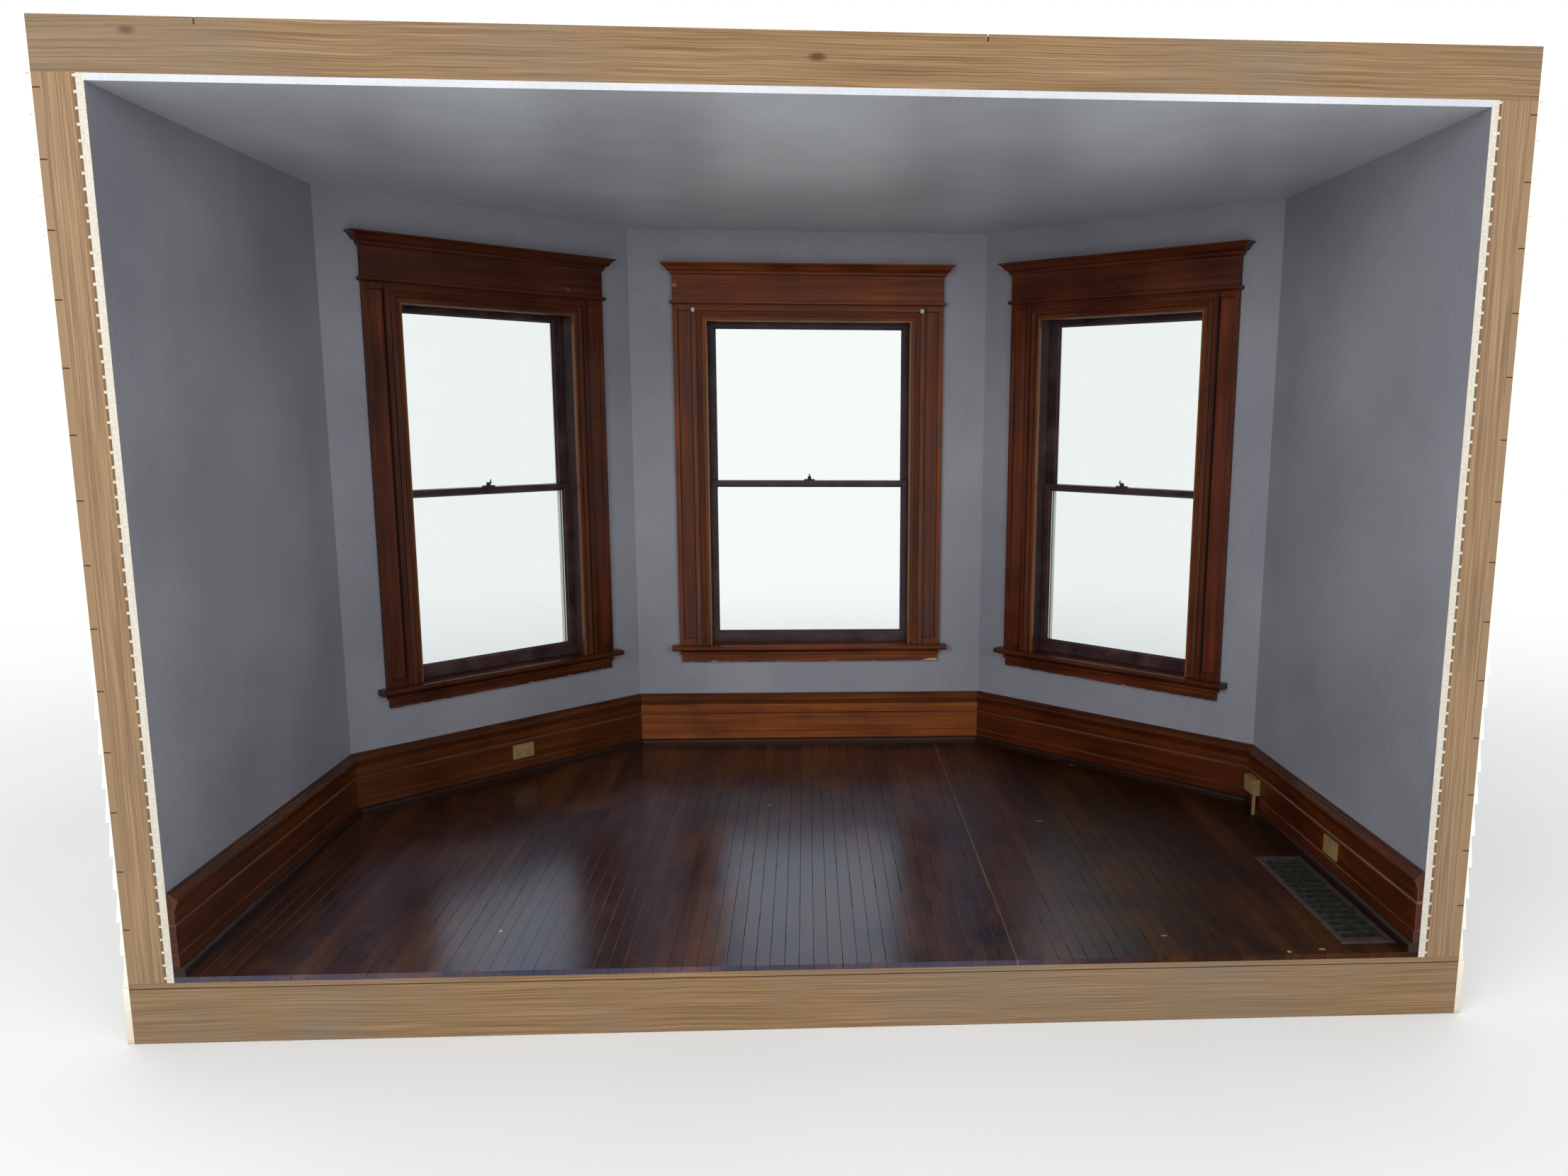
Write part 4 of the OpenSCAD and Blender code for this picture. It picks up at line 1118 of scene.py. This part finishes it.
def make_siding(tree, material):
    """Lapped boards on the five walls, between the corner boards and round the windows' outside boards."""
    up = Vector((0, 0, 1))
    growth = 2 * (WALL_T + CLAD_T) * math.tan(SLANT / 2)
    meshes = []
    for name, wall in WALLS.items():
        length, centre = wall.length + growth - 2 * CORNER_BOARD_W, 0
        if "side" in name:
            length = wall.length + growth / 2 - CORNER_BOARD_W
            centre = (growth / 2 - CORNER_BOARD_W) / 2 * (1 if name == "left_side" else -1)
        laps = grown("laps", tree, Length=length - 2 * CORNER_GAP, Height=SIDING[1].z - SIDING[0].z,
                     Exposure=EXPOSURE, Butt=BUTT_T, Tip=TIP_T, Seed=5, Material=material)
        laps.transform(wall.matrix(centre, WALL_T + SEAT, SIDING[0].z))
        laps = clipped(laps, [(Vector((0, 0, SIDING[1].z)), up)])
        if "side" in name:
            meshes.append(laps)
            continue

        # Below and above the outside boards of the window, and to the left and right of them
        low, high = reach(name + "_outside_trim", wall.along)
        half = (high - low) / 2 - SIDING_LAP
        bottom, top = [wall.place(0, 0, corner.z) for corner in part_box(name + "_outside_trim")]
        bottom, top = bottom + up * SILL_LAP, top - up * DRIP_CAP_LAP
        beside = [(bottom, -up), (top, up)]
        for planes in ([(bottom, up)], [(top, -up)], beside + [(wall.place(-half, 0, 0), wall.along)],
                       beside + [(wall.place(half, 0, 0), -wall.along)]):
            meshes.append(clipped(laps.copy(), planes))
    piece("lapped_boards", joined("lapped_boards", meshes), "outside_paint", "siding")


# Outlets, as the solids have them
OUTLETS = {"left_outlet": "left", "right_outlet": "right_side", "corner_outlet_box": "right_side"}
PLATE_H = 0.070
OUTLET_FACE_X = 0.020
OUTLET_FACE_T = 0.002
BLADE_SLOT_L = 0.0080
BLADE_SLOT_W = 0.0022
BLADE_SLOT_DEPTH = 0.0062
BLADE_SPACING = 0.0127


def front_of(name):
    """The wall of an outlet and the middle of its front, along the wall, out through it and up."""
    wall = WALLS[OUTLETS[name]]
    low, high = reach(name, wall.along)
    inmost = reach(name, wall.out)[0]
    return wall, (low + high) / 2 - wall.offset, inmost - wall.depth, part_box(name)[1].z - PLATE_H / 2


def make_outlets(material):
    """The outlets with the blade slots cut into both of their faces, which lie side by side."""
    for name in OUTLETS:
        wall, u, front, z = front_of(name)
        matrix = wall.matrix(u, front, z)
        slots = []
        for x in (-OUTLET_FACE_X, OUTLET_FACE_X):
            for up in (-BLADE_SPACING / 2, BLADE_SPACING / 2):
                low = (x - BLADE_SLOT_L / 2, -PROUD, up - BLADE_SLOT_W / 2)
                high = (x + BLADE_SLOT_L / 2, BLADE_SLOT_DEPTH, up + BLADE_SLOT_W / 2)
                slots.append((low, high, matrix))
        mesh = minus_boxes(nodes[name].data.copy(), slots)
        piece(name + "_slotted", mesh, "outlet_ivory", name, material=material)


# Sash locks, as the solids have them, and their screws and those of the outlet plates
LOCK_BASE_T = 0.007
LOCK_PIVOT_R = 0.013
LOCK_SCREW_X = 0.0205
LOCK_SCREW_R = 0.0034
PLATE_SCREW_R = 0.0036


def make_screws(iron, plastic):
    """Slotted screws: two in the base of each sash lock, and one in the middle of each outlet plate."""
    tree = screw_tree()
    up = Vector((0, 0, 1))
    lock_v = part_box("sash_locks")[1].y - CENTRE_Y - LOCK_PIVOT_R
    lock_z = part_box("sash_locks")[0].z + LOCK_BASE_T
    locks = [(WALLS[name].place(x, lock_v, lock_z), up, LOCK_SCREW_R) for name in WINDOWS
             for x in (-LOCK_SCREW_X, LOCK_SCREW_X)]
    plates = []
    for name in OUTLETS:
        wall, u, front, z = front_of(name)
        plates.append((wall.place(u, front + OUTLET_FACE_T, z), -wall.out, PLATE_SCREW_R))
    for name, slot, material, heads in (("lock_screws", "lock_iron", iron, locks),
                                        ("plate_screws", "outlet_ivory", plastic, plates)):
        base = bpy.data.meshes.new(name)
        base.from_pydata([h[0] for h in heads], [], [])
        base.attributes.new("radius", "FLOAT", "POINT").data.foreach_set("value", [h[2] for h in heads])
        facing = base.attributes.new("facing", "FLOAT_VECTOR", "POINT")
        facing.data.foreach_set("vector", [c for h in heads for c in h[1]])
        piece(name, grown(name, tree, base, Slot=SLOT_W, Material=material), slot)


# Blind brackets: the middle of each along the wall and up, and the sizes of the folded sheet
BRACKETS = ((-0.583, 2.484), (0.575, 2.486))
BRACKET_W = 0.017
BRACKET_H = 0.018
BRACKET_D = 0.016
SHEET_T = 0.0012


def make_brackets(material):
    """Two blind brackets folded from sheet steel, open below, on the strips of the centre casing."""
    wall = WALLS["centre"]
    meshes = []
    for u, z in BRACKETS:
        half, inner = BRACKET_W / 2, BRACKET_W / 2 - SHEET_T
        outline = [(-half, 0), (half, 0), (half, -BRACKET_D), (inner, -BRACKET_D), (inner, -SHEET_T),
                   (-inner, -SHEET_T), (-inner, -BRACKET_D), (-half, -BRACKET_D)]
        meshes.append(bpy.data.meshes.new("bracket"))
        with edited(meshes[-1]) as work:
            face = work.faces.new([work.verts.new((x, y, 0)) for x, y in outline])
            solid = bmesh.ops.extrude_face_region(work, geom=[face])["geom"]
            raised = [g for g in solid if isinstance(g, bmesh.types.BMVert)]
            bmesh.ops.translate(work, vec=(0, 0, BRACKET_H), verts=raised)
            bmesh.ops.recalc_face_normals(work, faces=work.faces)
            bmesh.ops.transform(work, matrix=wall.matrix(u, -CASING_T, z - BRACKET_H / 2), verts=work.verts)
    piece("blind_brackets", joined("blind_brackets", meshes), "outside_paint", material=material)


# Light and floor
WORLD_LIGHT = 0.9
STAGE_R = 40.0
STAGE_DROP = 0.001
STAGE_CLOUD = 2.5
# Distances over which the studio floor turns paler, and then white
PALER = (3.0, 9.0)
WHITE = (3.5, 10.0)
# Each lamp's place, target, size and power. The first two cross into the open room side.
LAMPS = {
    "near_left_lamp": ((-3.4, -6.2, 3.4), (1.5, -0.2, 1.6), (4.0, 3.0), 270),
    "near_right_lamp": ((3.4, -6.2, 3.4), (-0.6, 0.4, 1.3), (4.0, 3.0), 185),
    "left_lamp": ((-9.0, 6.0, 8.0), (0.0, 0.0, 1.4), (6.0, 6.0), 170),
    "right_lamp": ((9.0, 8.0, 7.0), (0.0, 0.0, 1.4), (6.0, 6.0), 110),
}


def make_surrounding():
    """An even light all round, in which what is seen is plain white."""
    world = bpy.data.worlds.new("studio")
    world.use_nodes = True
    tree = world.node_tree
    tree.nodes.clear()
    lighting = add(tree, "Background", "#f3f6fb", WORLD_LIGHT)
    white = add(tree, "Background", "#ffffff", 1.0)
    add(tree, "OutputWorld", add(tree, "MixShader", seen_ray(tree), lighting, white))
    scene.world = world


def studio_floor(name):
    """Pale matt floor paint. Away from the object it turns white, as what is behind it, so that no horizon
    shows."""
    material, tree, coordinates = new_material(name)
    clouds = add(tree, "TexNoise", coordinates, Scale=1 / STAGE_CLOUD)
    colour = add(tree, "ValToRGB", clouds, stops=((0.3, "#dadad8"), (0.7, "#e2e2e0")))
    far = add(tree, "VectorMath", coordinates, operation="LENGTH").outputs["Value"]
    paler = add(tree, "MapRange", far, *PALER)
    colour = add(tree, "Mix", data_type="RGBA", Factor=paler, A=colour, B="#f8f8f7")
    white = add(tree, "MapRange", far, *WHITE)
    white = add(tree, "Math", white, seen_ray(tree), operation="MULTIPLY")
    shade(tree, white, add(tree, "Emission", "#ffffff", 1.0), Base_Color=colour, Roughness=0.8,
          Specular_IOR_Level=0.2)
    return material


def make_stage(material):
    """The studio floor, a round sheet just under the object."""
    mesh = bpy.data.meshes.new("studio_floor")
    with edited(mesh) as work:
        bmesh.ops.create_circle(work, cap_ends=True, segments=96, radius=STAGE_R)
    cover(mesh, material)
    floor = bpy.data.objects.new("studio_floor", mesh)
    floor.location.z = -STAGE_DROP
    scene.collection.objects.link(floor)


def lamp(name, place, target, size, power):
    """A soft rectangular lamp that shows neither in the varnish nor through the panes."""
    data = bpy.data.lights.new(name, "AREA")
    data.shape = "RECTANGLE"
    data.size, data.size_y = size
    data.energy = power
    obj = bpy.data.objects.new(name, data)
    obj.location = place
    obj.rotation_euler = (Vector(target) - Vector(place)).to_track_quat("-Z", "Y").to_euler()
    obj.visible_glossy = False
    obj.visible_transmission = False
    scene.collection.objects.link(obj)


def dress_windows(sash, jamb, outside):
    """The trim, sashes and frames of the three windows, and the outside boards round them."""
    for name in WINDOWS:
        wall = WALLS[name]
        low, high = reach(name + "_casing", wall.along)
        corner = ((high - low) / 2 - BAND_W - PANEL_W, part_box(name + "_casing")[1].z - BAND_W)
        dress(varnished_softwood(f"varnished_casing_{name}", wall, TRIM_TONES[name], mitre=corner,
                                 panel=PANEL_SHARE[name]), name + "_casing")
        level = varnished_softwood(f"varnished_trim_{name}", wall, TRIM_TONES[name],
                                   lapped=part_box(name + "_apron")[0].z, bare=BARE[name])
        dress(level, name + "_entablature", name + "_stool", name + "_apron")
        dress(sash, name + "_upper_sash", name + "_lower_sash")
        dress(jamb, name + "_frame")
        dress(outside, name + "_outside_trim")


def dress_room(plaster, cut_plaster):
    """Walls and baseboards."""
    dress(plaster, "centre_wall", "left_bay_wall", "right_bay_wall")
    dress(cut_plaster, "left_side_wall", "right_side_wall")
    for name, wall in WALLS.items():
        node = name + ("_baseboard" if name == "centre" or "side" in name else "_bay_baseboard")
        tones = BASE_TONES[name.split("_")[0]]
        dress(varnished_softwood(f"varnished_baseboard_{name}", wall, tones, rule=BASE_RULES[name]), node)


make_camera()
make_surrounding()
make_stage(studio_floor("studio_floor"))
for name, settings in LAMPS.items():
    lamp(name, *settings)

paint = board_paint("oil_paint_on_boards")
pine = sawn_pine("sawn_pine")
iron = worn_metal("japanned_cast_iron", ("#1d1714", "#342a23"), "#7a6a55", 0.35, Metallic=0.3)
plastic = moulded_plastic("ivory_urea_plastic", ("#77623f", "#8d7148"))
dress_room(painted_plaster("painted_plaster", WALL_TONES), cut_wall("cut_plaster_wall"))
dress(painted_plaster("painted_ceiling", CEILING_TONES), "ceiling")
dress_windows(stained_sash("black_stained_sash"), stained_sash("rubbed_stained_frame", 0.38, 0.0), paint)
dress(paint, "corner_boards", "skirt_boards", "frieze_boards")
dress(pine, "floor_platform")
dress(sheet_glass("drawn_sheet_glass"), "window_glass")
dress(iron, "sash_locks")
dress(register_enamel("worn_enamelled_steel"), "floor_register")

boards = board_tree()
make_floor(boards, floor_boards("walnut_stained_strips"))
make_top(boards, pine)
make_siding(lap_tree(), paint)
make_outlets(plastic)
make_screws(iron, plastic)
make_brackets(worn_metal("white_painted_steel", ("#c9c6bd", "#dcd9d0"), "#b9a888", 0.40))

scene.view_settings.view_transform = "Standard"
